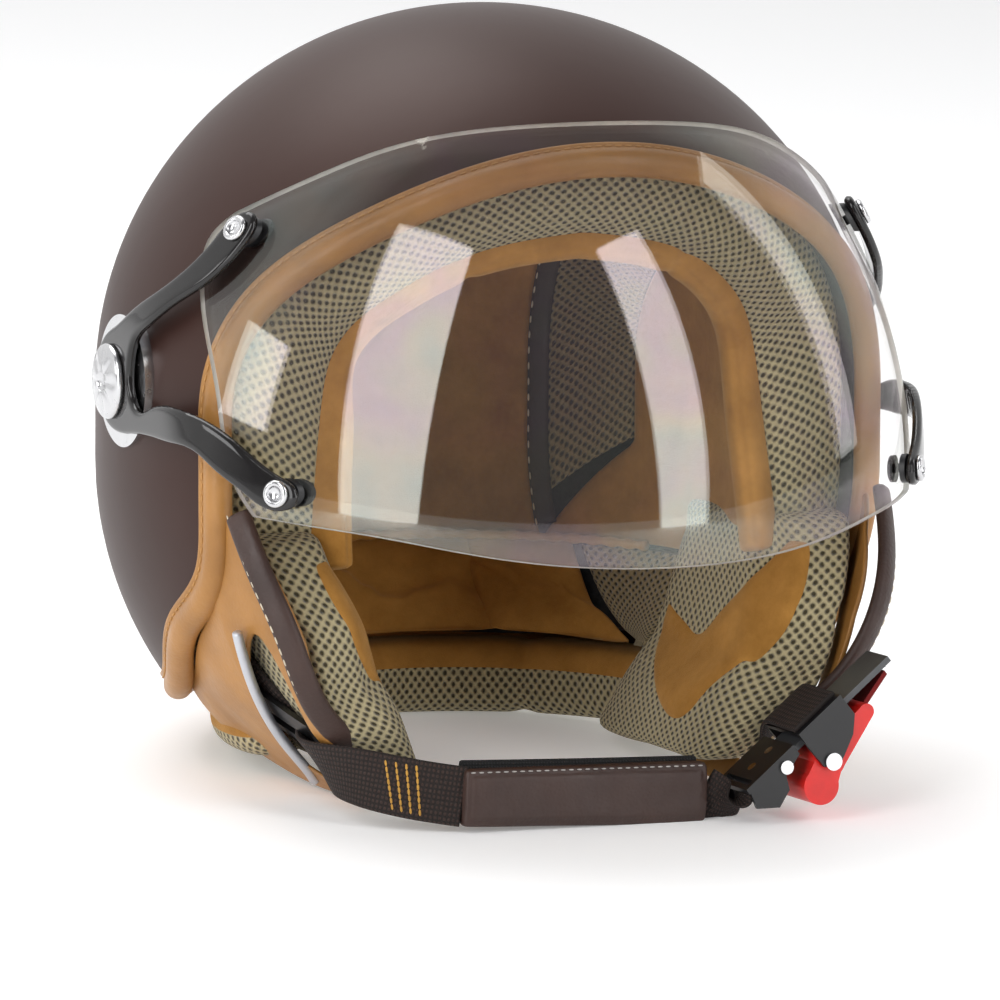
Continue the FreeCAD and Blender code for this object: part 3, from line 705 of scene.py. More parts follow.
def build_trim():
    half = rim_half()
    path = even(np.vstack([half, mirrored(half, -1)[-2:0:-1]]), 420, closed=True)
    outward = side_normals(SHELL_HALF, path)
    grid = sweep(path, outward, TRIM_SECTION, closed=True)
    soften(add_grid("edge_trim_leather", grid, "tan_leather", close_a=True, close_b=True,
                    replaces=["edge_trim"]))
    sideways = np.cross(tangents(path, True), outward)
    line = path + sideways * STITCH_LINE[0] + outward * STITCH_LINE[1]
    add_stitches("edge_trim_stitches", line, outward, "tan", 3.4, 2.3, 0.38, closed=True)


# The shell's edge moved back and up, then how far it is sunk.
FOAM_FRONT = ((1.5, 0.5), 4.5)
FOAM_BACK = ((17.0, 6.0), 22.0)


def build_edge_gap():
    """Dark foam between the trim and the brow pad."""
    outer, inner = (both_sides(rim_half(*edge, 160)[:120]) for edge in (FOAM_FRONT, FOAM_BACK))
    grid = np.stack([outer, (outer + inner) / 2 + (0, 3, 2), inner], 1)
    add_grid("foam_edge", grid, "black_foam")


# ---- brow pad and suede roll ---------------------------------------------------------
BROW_ROLL = ((0, -74, 52), (35.5, -68, 45.5), (56, -57, 33), (69.6, -44, 15), (72, -44, -5), (74, -47, -30),
             (75, -51, -52))
ROLL_RADIUS = 6.2
ROLL_JOINT = 36.0                     # half width of the roll's middle length
ROLL_DEEPER = 0.55                    # how much deeper the roll is down the sides
BROW_PUFF = (5.0, 6.0)                # how far the brow pad swells forwards and backwards


def build_brow():
    roll = both_sides(smooth_path(BROW_ROLL, 60))
    stations = len(roll)
    rim = even(both_sides(rim_half((3.0, 1.0), 7.0)[:108]), stations)
    across = roll - rim
    puff = unit(np.cross(tangents(roll), across))
    puff *= np.sign(-puff[:, 1:2] + 1e-6)
    share = np.linspace(0.0, 1.0, 15)[None, :, None]
    bulge = puff[:, None] * np.sin(math.pi * share) ** 0.55
    middle = rim[:, None] + across[:, None] * share
    grid = slab(middle + BROW_PUFF[0] * bulge, (middle - BROW_PUFF[1] * bulge)[:, 1:-1])
    pad = add_grid("brow_pad_mesh", grid, "spacer_mesh", close_b=True, replaces=["brow_pad"])
    soften(inflate(pad, 2.0, 3.0))
    inwards = -0.5 * np.tanh(roll[:, 0] / 25.0)
    outward = np.stack([inwards, np.full(stations, -0.8), np.full(stations, -0.3)], -1)
    reach = np.abs(np.linspace(-1, 1, stations))
    deep = 1.0 + ROLL_DEEPER * ramp(reach, 0.45, 0.70)
    pinch = dip(np.abs(roll[:, 0]) - ROLL_JOINT, 1.8, 0.22)
    base = oval(ROLL_RADIUS, ROLL_RADIUS, 28)
    seam = dip(full_turn(28) - math.pi / 2, 0.16, 0.13)
    sections = base[None] * seam[None, :, None] * pinch[:, None, None]
    sections = sections * np.stack([np.ones(stations), deep], -1)[:, None]
    soften(add_grid("brow_roll", sweep(roll, outward, sections), "tan_suede", close_b=True,
                    replaces=["brow_piping"]))


# ---- crown lining --------------------------------------------------------------------
STRIP_HALF = 50.0
MESH_HALF = 73.0
LINING_BOTTOM = -58.0
CROWN_END = 2.25                      # angle over the top at which the crown's lining ends
PER_RADIAN = 45.0                     # a radian counts as this many millimetres in spacing points
STRIP_RIBS = 25.0
SUNK = 2.2                            # depth of a quilted panel's edges


def crown_places(spaced):
    """Heights while negative, then angles over the top, from evenly spaced places."""
    return np.where(spaced < 0, spaced, spaced / PER_RADIAN)


def cavity_point(x, along, growth):
    """Point of the head room's wall, at a height or an angle as in crown_places."""
    half = [value + growth for value in CAVITY_HALF]
    room = np.clip(egg(np.minimum(along, 0.0), half[2]) - (x / half[0]) ** 2, 0.0, 1.0)
    turn = np.maximum(along, 0.0)
    reach = np.sqrt(np.clip(1.0 - (x / half[0]) ** 2, 0.0, 1.0))
    y = np.where(along < 0, half[1] * np.sqrt(room), half[1] * reach * np.cos(turn))
    z = np.where(along < 0, along, half[2] * reach * np.sin(turn))
    return np.stack([np.broadcast_to(x, y.shape), y, z], -1)


def puffed(count_a, count_b, height, depth, power=8):
    """How deep a quilted panel's face lies, from its sunk edges to its raised middle."""
    a = np.linspace(-1, 1, count_a)[:, None]
    b = np.linspace(-1, 1, count_b)[None]
    full = (1 - np.abs(a) ** power) * (1 - np.abs(b) ** power)
    return depth - (depth + height) * full


def add_crown_panel(name, x, along, growth, slot_name, replaced, finish):
    """Closed padded panel over a grid of x and along values."""
    grid = slab(cavity_point(x, along, growth), cavity_point(x, along, np.full(x.shape, LINING_BACK)))
    add_grid(name, grid, slot_name, close_b=True, replaces=[replaced],
             finishes=[FINISHES[finish]])


def build_crown_strip():
    along = np.concatenate([np.linspace(LINING_BOTTOM, -2.0, 28), np.linspace(0.0, CROWN_END, 70)])
    x, along = np.meshgrid(np.linspace(-STRIP_HALF, STRIP_HALF, 61), along)
    growth = puffed(*x.shape, 0.5, SUNK)
    growth = growth - 0.9 * np.cos(2 * math.pi * x / STRIP_RIBS) * (growth < 3.0)
    add_crown_panel("crown_strip_suede", x, along, growth, "tan_suede", "crown_strip", "tan_suede")


def build_crown_side(name, side):
    share, rise = np.meshgrid(np.linspace(0, 1, 15), np.linspace(0, 1, 80))
    x = side * (STRIP_HALF + 0.5 + (MESH_HALF - STRIP_HALF) * share)
    bottom = -48.0 + 24.0 * share
    along = crown_places(bottom + rise * (CROWN_END * PER_RADIAN - bottom))
    # The side mesh panels take the darker copy of the spacer mesh, painted shade.
    add_crown_panel("crown_mesh_" + name + "_fabric", x, along, puffed(*x.shape, -1.5, SUNK),
                    "spacer_mesh", "crown_mesh_" + name, "mesh_painted_shade")
    build_side_pad(name, side)
    edge = crown_places(np.linspace(LINING_BOTTOM + 4, CROWN_END * PER_RADIAN, 90))
    path = cavity_point(np.full(edge.shape, side * (STRIP_HALF + 1.5)), edge, 0.0)
    inward = -unit(path)
    band = sweep(path, inward, oval(3.6, 1.6, 14, 3.0))
    add_grid("crown_binding_" + name, band, "tan_suede", close_b=True, finishes=[FINISHES["binding"]])
    add_stitches("crown_stitches_" + name, path - (side * 3.2, 0, 0) + inward * 1.2, inward, "cream",
                 5.0, 2.4, 0.3)


def wall_slab(side, turn, z, growth):
    """Panel on the head room's wall, over angles from straight behind and heights."""
    share = np.sqrt(egg(z, CAVITY_HALF[2]))
    layers = []
    for grow in (growth, LINING_BACK):
        x = side * (CAVITY_HALF[0] + grow) * share * np.sin(turn)
        y = (CAVITY_HALF[1] + grow) * share * np.cos(turn)
        layers.append(np.stack(np.broadcast_arrays(x, y, z), -1))
    return slab(*layers)


def side_pad_bounds(z):
    """First and last angle of the side pad at each height."""
    width = CAVITY_HALF[0] * np.sqrt(egg(z, CAVITY_HALF[2]))
    start_x = np.interp(z, (LINING_BOTTOM, LINING_BOTTOM + 32.0), (50.0, MESH_HALF - 1.5))
    first = np.arcsin(np.clip(start_x / width, 0.0, 1.0))
    front = np.interp(z, (-58, -28, 6, 37), (-34.0, -33.0, -32.0, -44.0))
    length = CAVITY_HALF[1] * np.sqrt(egg(z, CAVITY_HALF[2]))
    last = np.minimum(np.arccos(np.clip(front / length, -1, 1)), math.pi - first + 0.02)
    return first, np.maximum(last, first + 0.02)


def build_side_pad(name, side):
    z = np.linspace(LINING_BOTTOM, 37.0, 44)[:, None]
    first, last = side_pad_bounds(z)
    turn = first + (last - first) * np.linspace(0, 1, 50)[None]
    grid = wall_slab(side, turn, z, puffed(*turn.shape, 0.5, SUNK))
    add_grid("side_pad_" + name + "_suede", grid, "tan_suede", close_b=True,
             replaces=["side_pad_" + name])


# ---- lining behind the head -----------------------------------------------------------
REAR_PADS = {"middle": (-31.0, 31.0), "left": (31.0, 57.0), "right": (-57.0, -31.0)}
REAR_OVERLAP = 1.6                    # the rear pads press against each other
REAR_BOTTOM = -89.5
SEAM_RADIUS = 1.5
SEAM_PITCH = 1.15                     # turns of the seam's thread, in radians per station


def build_rear_pad(name, low, high):
    z = np.linspace(REAR_BOTTOM, LINING_BOTTOM + 1.5, 24)[:, None]
    share = np.sqrt(egg(z, CAVITY_HALF[2]))
    x = np.linspace(low - REAR_OVERLAP, high + REAR_OVERLAP, 30)[None] * np.ones_like(z)
    layers = []
    for grow in (puffed(*x.shape, 3.0, 3.0, 4), LINING_BACK):
        half_x, half_y = ((half + grow) * share for half in CAVITY_HALF[:2])
        y = half_y * np.sqrt(np.clip(1.0 - (x / half_x) ** 2, 0.02, 1.0))
        layers.append(np.stack(np.broadcast_arrays(x, y, z), -1))
    pad = add_grid("rear_pad_" + name + "_suede", slab(*layers), "tan_suede", close_b=True,
                   replaces=["rear_pad"] if name == "middle" else ())
    soften(inflate(pad, 2.0, 1.5))


def build_rear_mesh(name, side):
    z = np.linspace(REAR_BOTTOM + 1.0, LINING_BOTTOM - 2.0, 16)[:, None]
    width = CAVITY_HALF[0] * np.sqrt(egg(z, CAVITY_HALF[2]))
    first = np.arcsin(np.clip((REAR_PADS["left"][1] + 1.0) / width, 0, 0.99))
    turn = first + (math.radians(86) - first) * np.linspace(0, 1, 26)[None]
    # The rear mesh panels take the darker copy of the spacer mesh, painted shade.
    add_grid("rear_mesh_" + name, wall_slab(side, turn, z, puffed(*turn.shape, 0.0, 2.5, 6)),
             "spacer_mesh", close_b=True, finishes=[FINISHES["mesh_painted_shade"]])


def build_lining_seam():
    """Overlock seam: a thick thread wound along the join of two panels."""
    turn = np.linspace(-1.25, 1.25, 150)
    full = math.sqrt(float(egg(LINING_BOTTOM, CAVITY_HALF[2])))
    path = np.stack([CAVITY_HALF[0] * full * np.sin(turn), CAVITY_HALF[1] * full * np.cos(turn),
                     np.full(turn.shape, LINING_BOTTOM - 0.4)], -1)
    thickness = 1.0 + 0.22 * np.sin(np.arange(len(path)) * SEAM_PITCH)
    sections = oval(SEAM_RADIUS, SEAM_RADIUS, 12)[None] * thickness[:, None, None]
    add_grid("lining_seam", sweep(path, -unit(path * (1, 1, 0)), sections), "tan_suede", close_b=True)


# ---- neck roll -----------------------------------------------------------------------
NECK_HALF = (74.5, 82.0)              # half width and length of the roll's middle line
NECK_HEIGHT = -104.2
NECK_REACH = 103.0                    # degrees that the roll reaches forward each side
NECK_FOLD = 45.0                      # half width at which it folds
NECK_MESH = (0.30, 0.77)              # part of the way round its section that is mesh


def build_neck_roll():
    turn = np.radians(np.linspace(-NECK_REACH, NECK_REACH, 110))
    path = np.stack([NECK_HALF[0] * np.sin(turn), NECK_HALF[1] * np.cos(turn),
                     np.full(turn.shape, NECK_HEIGHT)], -1)
    ends = np.clip(1.0 - np.abs(np.linspace(-1, 1, len(turn))) ** 24, 0.15, 1.0) ** 0.5
    fold = dip(np.abs(path[:, 0]) - NECK_FOLD, 2.2, 0.10)
    sections = oval(12.6, 12.2, 36, 2.8)[None] * (ends * fold)[:, None, None]

    def is_mesh(around):
        return (around > NECK_MESH[0]) & (around < NECK_MESH[1])

    roll = add_grid("neck_roll_pad", sweep(path, unit(path * (1, 1, 0)), sections), "spacer_mesh",
                    close_b=True, replaces=["neck_roll"],
                    finishes=[FINISHES["tan_suede"], FINISHES["spacer_mesh"]], region=is_mesh)
    soften(inflate(roll, 1.5, 2.0))


# ---- cheek pads ----------------------------------------------------------------------
CHEEK_ENDS = (-117.0, -38.2)          # bottom and top
CHEEK_REAR = 21.0
CHEEK_FRONT = ((-117, -100, -80, -66, -50, -38), (-71.0, -77.5, -79.0, -77.5, -69.0, -60.0))
CHEEK_INNER = ((-117, -97, -85, -50, -38), (45.0, 57.0, 67.0, 76.0, 78.0))
CHEEK_ROUNDING = ((0.12, 0.0), (0.45, 0.2), (0.75, 0.7), (0.92, 1.6))    # size, height from the end


def cheek_ring(height, size, side):
    """The cheek pad's rounded section at a height, drawn in about its middle by size."""
    front = np.interp(height, *CHEEK_FRONT)
    inner = np.interp(height, *CHEEK_INNER)
    flap = side_x(inset(JAW_HALF, 3.2), front + 3.0, height)
    outer_front = flap - 5.5 * ramp(height, -100, -70)
    outer_rear = side_x(inset(SHELL_HALF, 10.0), CHEEK_REAR, height)
    forward, outward = (0.5 + 0.5 * oval(1.0, 1.0, 72, 5.0) * size).T
    outer = outer_rear + (outer_front - outer_rear) * forward
    x = inner + (outer - inner) * outward
    y = CHEEK_REAR + (front - CHEEK_REAR) * forward
    return np.stack([side * x, y, np.full(y.shape, height)], -1)


def build_cheek(name, side):
    bottom, top = CHEEK_ENDS
    stations = [(bottom + lift, size) for size, lift in CHEEK_ROUNDING]
    stations += [(height, 1.0) for height in np.linspace(bottom, top, 26)[1:-1]]
    stations += [(top - lift, size) for size, lift in CHEEK_ROUNDING[::-1]]
    grid = np.array([cheek_ring(height, size, side) for height, size in stations])
    pad = add_grid("cheek_pad_" + name + "_mesh", grid, "spacer_mesh", close_b=True,
                   replaces=["cheek_pad_" + name])
    soften(inflate(pad, 3.0, 4.0))
    build_insert(name, side, pad)


# Front and rear border of the V-shaped suede insert: down the pad's front, then up towards its rear.
INSERT_FRONT = ((88, -67, -43), (82, -74, -58), (73, -74, -77), (62, -62, -92), (51, -45, -107),
                (53, -22, -100), (57, -8, -90), (61, 3, -77))
INSERT_REAR = ((75, -66, -43), (72, -60, -52), (68, -50, -63), (65, -38, -72), (62, -28, -79),
               (62, -18, -77), (61, -8, -74), (61, 2, -70))


def surface_of(piece):
    return BVHTree.FromObject(piece, bpy.context.evaluated_depsgraph_get())


def drape(points, tree, lift):
    """Puts each point onto a piece's surface, raised by lift millimetres."""
    inverse = np.linalg.inv(STAND_ROWS)
    placed = np.zeros_like(points)
    for index in np.ndindex(points.shape[:-1]):
        spot, normal, _, _ = tree.find_nearest(Vector(rows(points[index][None])[0]))
        placed[index] = np.array(spot + normal * (lift[index] * MM))
    return placed @ inverse[:3, :3].T + inverse[:3, 3]


def build_insert(name, side, pad):
    stations, across = 64, 16
    front, rear = (mirrored(smooth_path(line, stations), side) for line in (INSERT_FRONT, INSERT_REAR))
    share = np.linspace(0, 1, across)[None, :, None]
    flat = front[:, None] * (1 - share) + rear[:, None] * share
    lift = -puffed(stations, across, 1.3, 0.6, 6)
    surface = surface_of(pad)
    grid = slab(drape(flat, surface, lift), drape(flat, surface, np.full(lift.shape, -1.4)))
    soften(add_grid("cheek_insert_" + name + "_suede", grid, "tan_suede", close_b=True,
                    replaces=["cheek_insert_" + name]))


# ---- leather flaps -------------------------------------------------------------------
FLAP_OUTLINE = ((-56, -34), (-70, -44), (-80, -62), (-79, -88), (-68, -112), (-60, -120), (-20, -123),
                (8, -112), (16, -97), (-2, -88), (-24, -74), (-46, -57), (-52, -40))
SLOT_OUTLINE = ((-58, -70), (-67, -92), (-62, -116), (-47, -119), (-38, -112), (-44, -92))
SLOT_CENTRE = (-55.0, -96.0)
FLAP_THICKNESS = 1.8
PIPING = ((110.5, -66, -31), (107, -78, -50), (102, -84, -65), (89, -79, -91), (65, -67, -110))
REFLECTIVE_LINE = ((-56, -69), (-52, -80), (-47, -92), (-42, -106), (-38, -116), (-32, -121))


def closed_smooth(points, count):
    """Evenly spaced points on a closed smooth curve through the given ones."""
    points = np.asarray(points, float)
    fine, half = 3000, 1500
    dense = smooth_path(np.vstack([points[-2:], points, points[:3]]), fine)
    away = np.linalg.norm(dense - points[0], axis=1)
    return even(dense[np.argmin(away[:half]):half + np.argmin(away[half:])], count, closed=True)


def lined_up(loop):
    """The loop started at the point straight above the slot's centre."""
    angle = np.arctan2(*(loop - SLOT_CENTRE).T)
    return np.roll(loop, -int(np.argmin(np.abs(angle))), axis=0)


def build_flap(name, side):
    """Leather from the flap's outline to the strap's slot, puckered near the strap."""
    outer, slot = (lined_up(closed_smooth(line, 160)) for line in (FLAP_OUTLINE, SLOT_OUTLINE))
    share = np.linspace(0, 1, 34)[:, None, None] ** 0.9
    flat = outer[None] * (1 - share) + slot[None] * share
    y, z = flat[..., 0], flat[..., 1]
    pucker = 0.9 + 0.6 * np.sin(z / 7.0 + y / 11.0) * ramp(z, -70, -110)
    bulge = 3.0 * np.exp(-(((y + 28) / 22) ** 2 + ((z + 92) / 16) ** 2))
    tuck = 6.5 * ramp(y, -45, -70) * ramp(z, -100, -70)
    x = side_x(JAW_HALF, y, z) - pucker + bulge - tuck
    front, back = (np.stack([side * width, y, z], -1) for width in (x, x - FLAP_THICKNESS))
    soften(add_grid("side_flap_" + name + "_leather", np.concatenate([front, back[::-1]]), "tan_leather",
                    close_a=True, close_b=True, replaces=["side_flap_" + name]))
    path = mirrored(smooth_path(PIPING, 70), side)
    outward = unit(np.tile((side * 0.55, -0.8, -0.1), (len(path), 1)))
    soften(add_grid("flap_piping_" + name + "_roll", sweep(path, outward, oval(4.2, 2.4, 18, 2.4)),
                    "brown_leather", close_b=True, replaces=["flap_piping_" + name]))
    line = path - side * np.cross(tangents(path), outward) * 3.4 + outward * 1.6
    add_stitches("flap_stitches_" + name, line, outward, "cream", 3.6, 2.4, 0.32)
    line = smooth_path(REFLECTIVE_LINE, 60)
    path = np.column_stack([side * (side_x(JAW_HALF, *line.T) + 0.2), line])
    grid = sweep(path, side_normals(JAW_HALF, path), oval(1.7, 1.7, 14))
    soften(add_grid("reflective_piping_" + name + "_cord", grid, "reflective_piping", close_b=True,
                    replaces=["reflective_piping_" + name]))


# ---- visor ---------------------------------------------------------------------------
TURN_WEIGHT = (100.0, 1.0)            # a radian counts as 100 mm in spacing points


def lens_place(line):
    """Angle round the lens and height of side view points, and whether each is on its surface."""
    y, z = line[:, 0] - LENS_CENTRE[1], line[:, 1]
    length = LENS_HALF[1] * np.sqrt(np.clip(egg(z - LENS_CENTRE[2], LENS_HALF[2], 0.0), 0, 1))
    return np.stack([np.arccos(np.clip(-y / length, -1, 1)), z], -1), -y < length


def lens_border(points, count):
    """Angles and heights along a border of the lens, as far as the middle plane."""
    places, inside = lens_place(smooth_path(points, 1500))
    if not inside.all():
        places = places[:int(np.argmin(inside))]
        places[-1, 0] = 0.0
    return even(places * TURN_WEIGHT, count) / TURN_WEIGHT


def lens_patch(across, up):
    """Grid of angles and heights filling the lens between its borders."""
    bottom, top, rear = (lens_border(line, count) for line, count in
                         ((LENS_BOTTOM, across), (LENS_TOP, across), (LENS_REAR, up)))
    front = np.stack([np.zeros(up), np.linspace(bottom[-1, 1], top[-1, 1], up)], -1)
    s = np.linspace(0, 1, up)[:, None, None]
    t = np.linspace(0, 1, across)[None, :, None]
    patch = (1 - s) * bottom[None] + s * top[None] + (1 - t) * rear[:, None] + t * front[:, None]
    patch -= (1 - s) * (1 - t) * bottom[0] + (1 - s) * t * bottom[-1]
    patch -= s * (1 - t) * top[0] + s * t * top[-1]
    return np.concatenate([patch, (patch * (-1.0, 1.0))[:, -2::-1]], axis=1)


def build_lens():
    patch = lens_patch(70, 44)
    share = np.sqrt(egg(patch[..., 1] - LENS_CENTRE[2], LENS_HALF[2], 0.0))
    outer = np.stack([LENS_HALF[0] * share * np.sin(patch[..., 0]),
                      LENS_CENTRE[1] - LENS_HALF[1] * share * np.cos(patch[..., 0]), patch[..., 1]], -1)
    normals = side_normals(LENS_HALF, outer, 0.0, LENS_CENTRE)
    inner = outer - normals * LENS_THICKNESS
    front, back = (ring_of(layer) for layer in (outer - normals * 0.05, inner + normals * 0.05))
    middle = (front + back) / 2
    bulge = 0.25 * np.cross(unit(middle - np.roll(middle, 2, axis=0)), unit(front - back))
    edge = np.stack([front, front * 0.65 + back * 0.35 - bulge,
                     front * 0.35 + back * 0.65 - bulge, back], 1)
    add_grid("visor_lens_outer", outer, "clear_lens", "visor", replaces=["visor_lens"])
    add_grid("visor_lens_inner", inner, "clear_lens", "visor")
    # The edge of the lens carries the pale finish, a painted highlight along its rim.
    add_grid("visor_lens_edge", edge, "clear_lens", "visor", close_a=True,
             finishes=[FINISHES["lens_edge_highlight"]])


def ring_of(grid):
    """The outline of a grid, all the way round."""
    return np.concatenate([grid[0], grid[1:, -1], grid[-1, -2::-1], grid[-2:0:-1, 0]])


BRACKET_ROUND = 1.4                   # radius of the bracket's edges
HUB_BLEND = 1.2
BRACKET_OUTLINE = ((14.2, 5), (11.5, 13.5), (5, 19.5), (-4.5, 23.3), (-16, 28.5), (-28, 34), (-41, 43),
                   (-47, 51.5), (-50, 58), (-55.5, 61), (-60, 57.5), (-59.5, 50), (-52.5, 39.5), (-41, 32),
                   (-29, 24.5), (-20, 19), (-16.5, 12), (-16.5, 4), (-21.5, -1.5), (-37, 0.3), (-54, 1),
                   (-66.5, -1.5), (-78.5, -7), (-93, -16.5), (-98.5, -21), (-98, -25.5), (-92.5, -27.5),
                   (-82.5, -22.5), (-72.5, -16.5), (-64, -11.5), (-50, -10), (-36.5, -9.7), (-18, -10.2),
                   (1, -9.6), (9.5, -4))


def bracket_face(y, z):
    """Points and outward directions on a bracket's inner face: beside the lens, flat at the hub."""
    form = inset(LENS_HALF, -BRACKET_GAP)
    step = 0.05

    def width(y_at, z_at):
        beyond = HUB_FACE - side_x(form, y_at, z_at, 0.0, LENS_CENTRE)
        return HUB_FACE - HUB_BLEND * np.log1p(np.exp(beyond / HUB_BLEND))

    slope_y = (width(y + step, z) - width(y - step, z)) / (2 * step)
    slope_z = (width(y, z + step) - width(y, z - step)) / (2 * step)
    return np.stack([width(y, z), y, z], -1), unit(np.stack([np.ones_like(y), -slope_y, -slope_z], -1))


def settled_mesh(piece):
    """The piece's mesh with its modifiers applied; the piece itself is removed."""
    mesh = bpy.data.meshes.new_from_object(piece.evaluated_get(bpy.context.evaluated_depsgraph_get()))
    bpy.data.objects.remove(piece)
    return mesh


def flat_bracket():
    """Mesh of the bracket before it is bent, with round edges and even faces."""
    curve = bpy.data.curves.new("bracket_outline", "CURVE")
    curve.dimensions = "2D"
    curve.fill_mode = "BOTH"
    line = closed_smooth(BRACKET_OUTLINE, 260)
    spline = curve.splines.new("POLY")
    spline.points.add(len(line) - 1)
    spline.points.foreach_set("co", np.column_stack([line, np.zeros((len(line), 2))]).ravel())
    spline.use_cyclic_u = True
    curve.extrude = BRACKET_THICKNESS / 2 - BRACKET_ROUND * 0.98
    curve.bevel_depth = BRACKET_ROUND
    curve.bevel_resolution = 4
    curve.offset = -BRACKET_ROUND
    plate = link("bracket_plate", settled_mesh(link("bracket_flat", curve)))
    remesh = plate.modifiers.new("remesh", "REMESH")
    remesh.mode = "VOXEL"
    remesh.voxel_size = 0.7
    relax = plate.modifiers.new("relax", "SMOOTH")
    relax.iterations = 6
    return settled_mesh(plate)


def build_bracket(name, side):
    """Black plate bent over the lens and the shell."""
    mesh = flat_bracket()
    flat_points = np.zeros(len(mesh.vertices) * 3)
    mesh.vertices.foreach_get("co", flat_points)
    y, z, height = flat_points.reshape(-1, 3).T
    surface, normals = bracket_face(y, z)
    placed = surface + normals * (height + BRACKET_THICKNESS / 2)[:, None]
    mesh.vertices.foreach_set("co", rows(mirrored(placed, side)).ravel())
    mesh.name = "visor_bracket_" + name + "_moulding"
    mesh.polygons.foreach_set("use_smooth", np.ones(len(mesh.polygons), bool))
    mesh.update()
    tidy_normals(mesh)
    finish_piece(mesh.name, mesh, "visor", [FINISHES["black_gloss"]],
                 ["visor_bracket_" + name])


# Radius, and distance from the helmet's middle plane.
PIVOT_PROFILE = ((4.0, 127.0), (11.9, 128.3), (12.0, 129.2), (11.7, 129.9), (11.2, 130.3), (9.5, 130.5),
                 (6.0, 130.9), (3.6, 131.3), (3.3, 131.4), (3.0, 130.5), (0.4, 130.4))
# Radius, and height over the bracket.
SCREW_PROFILE = ((1.6, -6.0), (1.8, 0.1), (4.1, 0.1), (4.3, 0.7), (4.1, 1.4), (3.5, 1.75), (2.7, 1.7),
                 (2.4, 1.3), (2.3, 0.4), (0.3, 0.3))
FACETS_BETWEEN = (3.4, 11.0)


def rosette(radius, angle):
    """Eight facets round the pivot screw's head."""
    faceted = FACETS_BETWEEN[0] <= radius <= FACETS_BETWEEN[1]
    return 0.45 * np.abs(np.sin(4 * angle)) if faceted else 0.0


def build_pivot(name, side):
    lathe("pivot_screw_" + name + "_head", PIVOT_PROFILE, PIVOT, (side, 0, 0), "bright_steel", "root", 64,
          rosette, ["pivot_screw_" + name])


def build_visor_screws(name, side):
    for index, (y, z) in enumerate(VISOR_SCREWS):
        spot, normal = bracket_face(np.array(y), np.array(z))
        spot = (spot + normal * BRACKET_THICKNESS) * (side, 1, 1)
        lathe("visor_screw_" + name + "_" + str(index), SCREW_PROFILE, spot, normal * (side, 1, 1),
              "bright_steel", "visor", 40,
              replaces=["visor_screws"] if (name, index) == ("left", 0) else ())


# ---- straps --------------------------------------------------------------------------
def webbing_line(path, width_way):
    """Middle line, direction of width and outward direction of a flat webbing's stations."""
    both = smooth_path(np.hstack([path, width_way]), 90)
    line, way = both[:, :3], unit(both[:, 3:])
    return line, way, np.cross(way, tangents(line))


def ribbon(node, path, width_way, width, thickness=1.8):
    """Flat webbing through stations, each with its own direction of width."""
    line, _, outward = webbing_line(path, width_way)
    grid = sweep(line, outward, oval(width / 2, thickness / 2, 28, 6.0))
    return add_grid(node + "_strap", grid, "webbing", close_b=True, replaces=[node])


PAD_ENDS = ((-46.9, -94.4, -119.2), (36.1, -94.4, -121.8))
PAD_HALF_HEIGHT = (9.0, 10.0)         # at the wearer's right and left end
PAD_HALF_DEPTH = 3.1
PAD_PANEL = 0.7                       # how far the pad's front panel stands out
LINING_SHIFT = (0.0, 4.9, 1.8)        # from the sleeve's middle to its fabric lining's


def build_strap_pad():
    stations = 90
    share = np.linspace(0, 1, stations)[:, None]
    path = np.array(PAD_ENDS[0]) * (1 - share) + np.array(PAD_ENDS[1]) * share
    outward = np.tile((0.0, -1.0, 0.0), (stations, 1))
    half_height = PAD_HALF_HEIGHT[0] * (1 - share) + PAD_HALF_HEIGHT[1] * share
    full = (PAD_HALF_HEIGHT[1], PAD_HALF_DEPTH)
    section = even(oval(*full, 400, 5.0), 72, closed=True) / full
    place = np.abs(2 * share - 1)
    ends = np.clip(1 - place ** 60, 0.0, 1.0) * 0.16 + 0.84
    sections = section[None] * np.stack([half_height * ends ** 0.4, PAD_HALF_DEPTH * ends], -1)
    panel = ramp(np.abs(section[None, :, 0]), 0.80, 0.70) * ramp(place, 0.955, 0.935)
    sections[..., 1] += PAD_PANEL * panel * (section[None, :, 1] > 0.3)
    grid = sweep(path, outward, sections)
    grid[..., 1] += 0.10 * np.sin(share * 57.0) * np.cos(share * 31.0)
    sleeve = add_grid("strap_pad_leather", grid, "brown_leather", close_b=True,
                      replaces=["strap_pad", "pad_webbing"])
    soften(inflate(sleeve, 1.0, 0.6))
    line = path + np.hstack([0 * share, 0 * share - 3.0, 0.9 * half_height])
    add_stitches("strap_pad_stitches", line[3:-3], outward[3:-3], "grey", 2.6, 1.6, 0.25)
    grid = sweep(path[1:-1] + LINING_SHIFT, outward[1:-1], oval(9.4, 1.5, 24, 4.0))
    lining = add_grid("pad_lining_fabric", grid, "black_fabric", close_b=True, replaces=["pad_lining"])
    soften(inflate(lining, 1.0, 0.6))


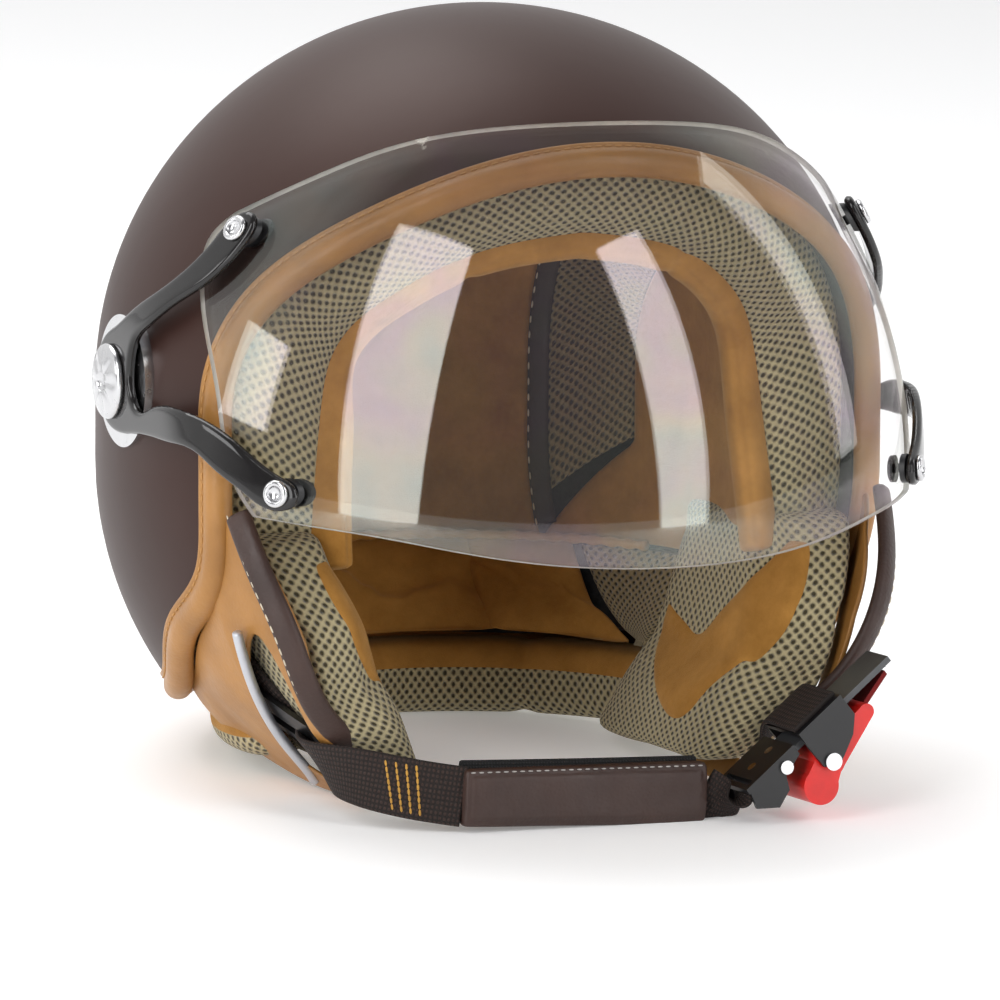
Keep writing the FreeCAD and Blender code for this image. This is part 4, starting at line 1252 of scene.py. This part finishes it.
# Stations of each length of webbing, and the direction of its width at each.
CHIN_LINE = ((-77.0, -50.0, -107.0), (-80.0, -57.0, -109.5), (-82.0, -65.0, -111.3), (-78.0, -78.0, -112.6),
             (-62.0, -89.5, -116.2), (-46.0, -94.0, -119.0))
CHIN_WAYS = ((0.6, -0.1, -0.6), (0.6, -0.1, -0.65), (0.5, 0, -0.85), (0.3, 0, -0.95), (0.1, 0, -1),
             (0, 0, -1))
TONGUE_LINE = ((35.0, -94.2, -121.8), (40.0, -95.2, -124.6), (44.6, -96.6, -125.4), (46.8, -98.0, -122.6),
               (46.4, -98.3, -119.2))
TONGUE_WAYS = ((0, 0, -1), (0, 0.35, -0.94), (0.1, 0.8, -0.6), (0, 1, -0.1), (0, 1, 0))
BUCKLE_LINE = ((73.0, -56.0, -109.0), (72.0, -70.0, -107.0), (69.8, -78.5, -102.2), (67.4, -86.0, -96.6),
               (67.1, -98.0, -96.0), (67.1, -109.0, -96.0))
BUCKLE_WAYS = ((0.766, 0.0, 0.643),) * len(BUCKLE_LINE)
SIDE_LINE = ((-23, -60), (-36, -86), (-49, -112))
SIDE_DEPTH = 5.5                      # of the side webbing under the flap's face
TACK_STATIONS = (58, 62, 66, 70)


def build_bar_tack():
    """Four plain rows of ochre thread across the chin webbing."""
    middle, way, outward = webbing_line(CHIN_LINE, CHIN_WAYS)
    across = np.linspace(-7.0, 7.0, 12)[:, None]
    for station in TACK_STATIONS:
        points = middle[station] + across * way[station] + outward[station]
        ups = np.tile(outward[station], (len(across), 1))
        add_stitches("bar_tack_" + str(station), points, ups, "ochre", 1.6, 1.9, 0.42)


def build_straps():
    for name, side in SIDES.items():
        line = np.array(SIDE_LINE, float)
        path = np.column_stack([side * side_x(inset(JAW_HALF, SIDE_DEPTH), *line.T), line])
        way = np.cross(side_normals(JAW_HALF, path[1]), unit(path[-1] - path[0]))
        ribbon("side_webbing_" + name, path, np.tile(way, (len(path), 1)), 21.0)
    ribbon("chin_webbing", CHIN_LINE, CHIN_WAYS, 19.0, 1.9)
    build_bar_tack()
    ribbon("buckle_webbing", BUCKLE_LINE, BUCKLE_WAYS, 18.0)
    tongue = ribbon("tongue_webbing", TONGUE_LINE, TONGUE_WAYS, 17.0)
    unparent(tongue)
    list(rows([TONGUE_LINE[0], TONGUE_LINE[-2]]))
    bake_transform(tongue)


def unparent(piece):
    """Takes the piece off its body."""
    piece.parent = None
    piece.matrix_world = Matrix.Identity(4)
    del piece["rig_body"]


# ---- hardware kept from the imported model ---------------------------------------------
def keep_hardware():
    """Gives each node that stays in sight its finish and small rounded edges."""
    slots = {part["node"]: part["material_slot"] for part in frame["record"]["subparts"]}
    for name, node in frame["nodes"].items():
        if node.hide_render:
            continue
        node.data.materials.clear()
        node.data.materials.append(FINISHES[slots[name]])
        edges = node.modifiers.new("edges", "BEVEL")
        edges.width = 0.4 * MM
        edges.segments = 2
        edges.limit_method = "ANGLE"
        edges.angle_limit = math.radians(35)


add_camera()
add_studio()
build_trim()
build_edge_gap()
build_brow()
build_crown_strip()
for side_name, side_sign in SIDES.items():
    build_crown_side(side_name, side_sign)
for pad_name, (pad_low, pad_high) in REAR_PADS.items():
    build_rear_pad(pad_name, pad_low, pad_high)
for side_name, side_sign in SIDES.items():
    build_rear_mesh(side_name, side_sign)
build_lining_seam()
build_neck_roll()
for side_name, side_sign in SIDES.items():
    build_cheek(side_name, side_sign)
    build_flap(side_name, side_sign)
    build_bracket(side_name, side_sign)
    build_pivot(side_name, side_sign)
build_lens()
for side_name, side_sign in SIDES.items():
    build_visor_screws(side_name, side_sign)
build_strap_pad()
build_straps()
keep_hardware()
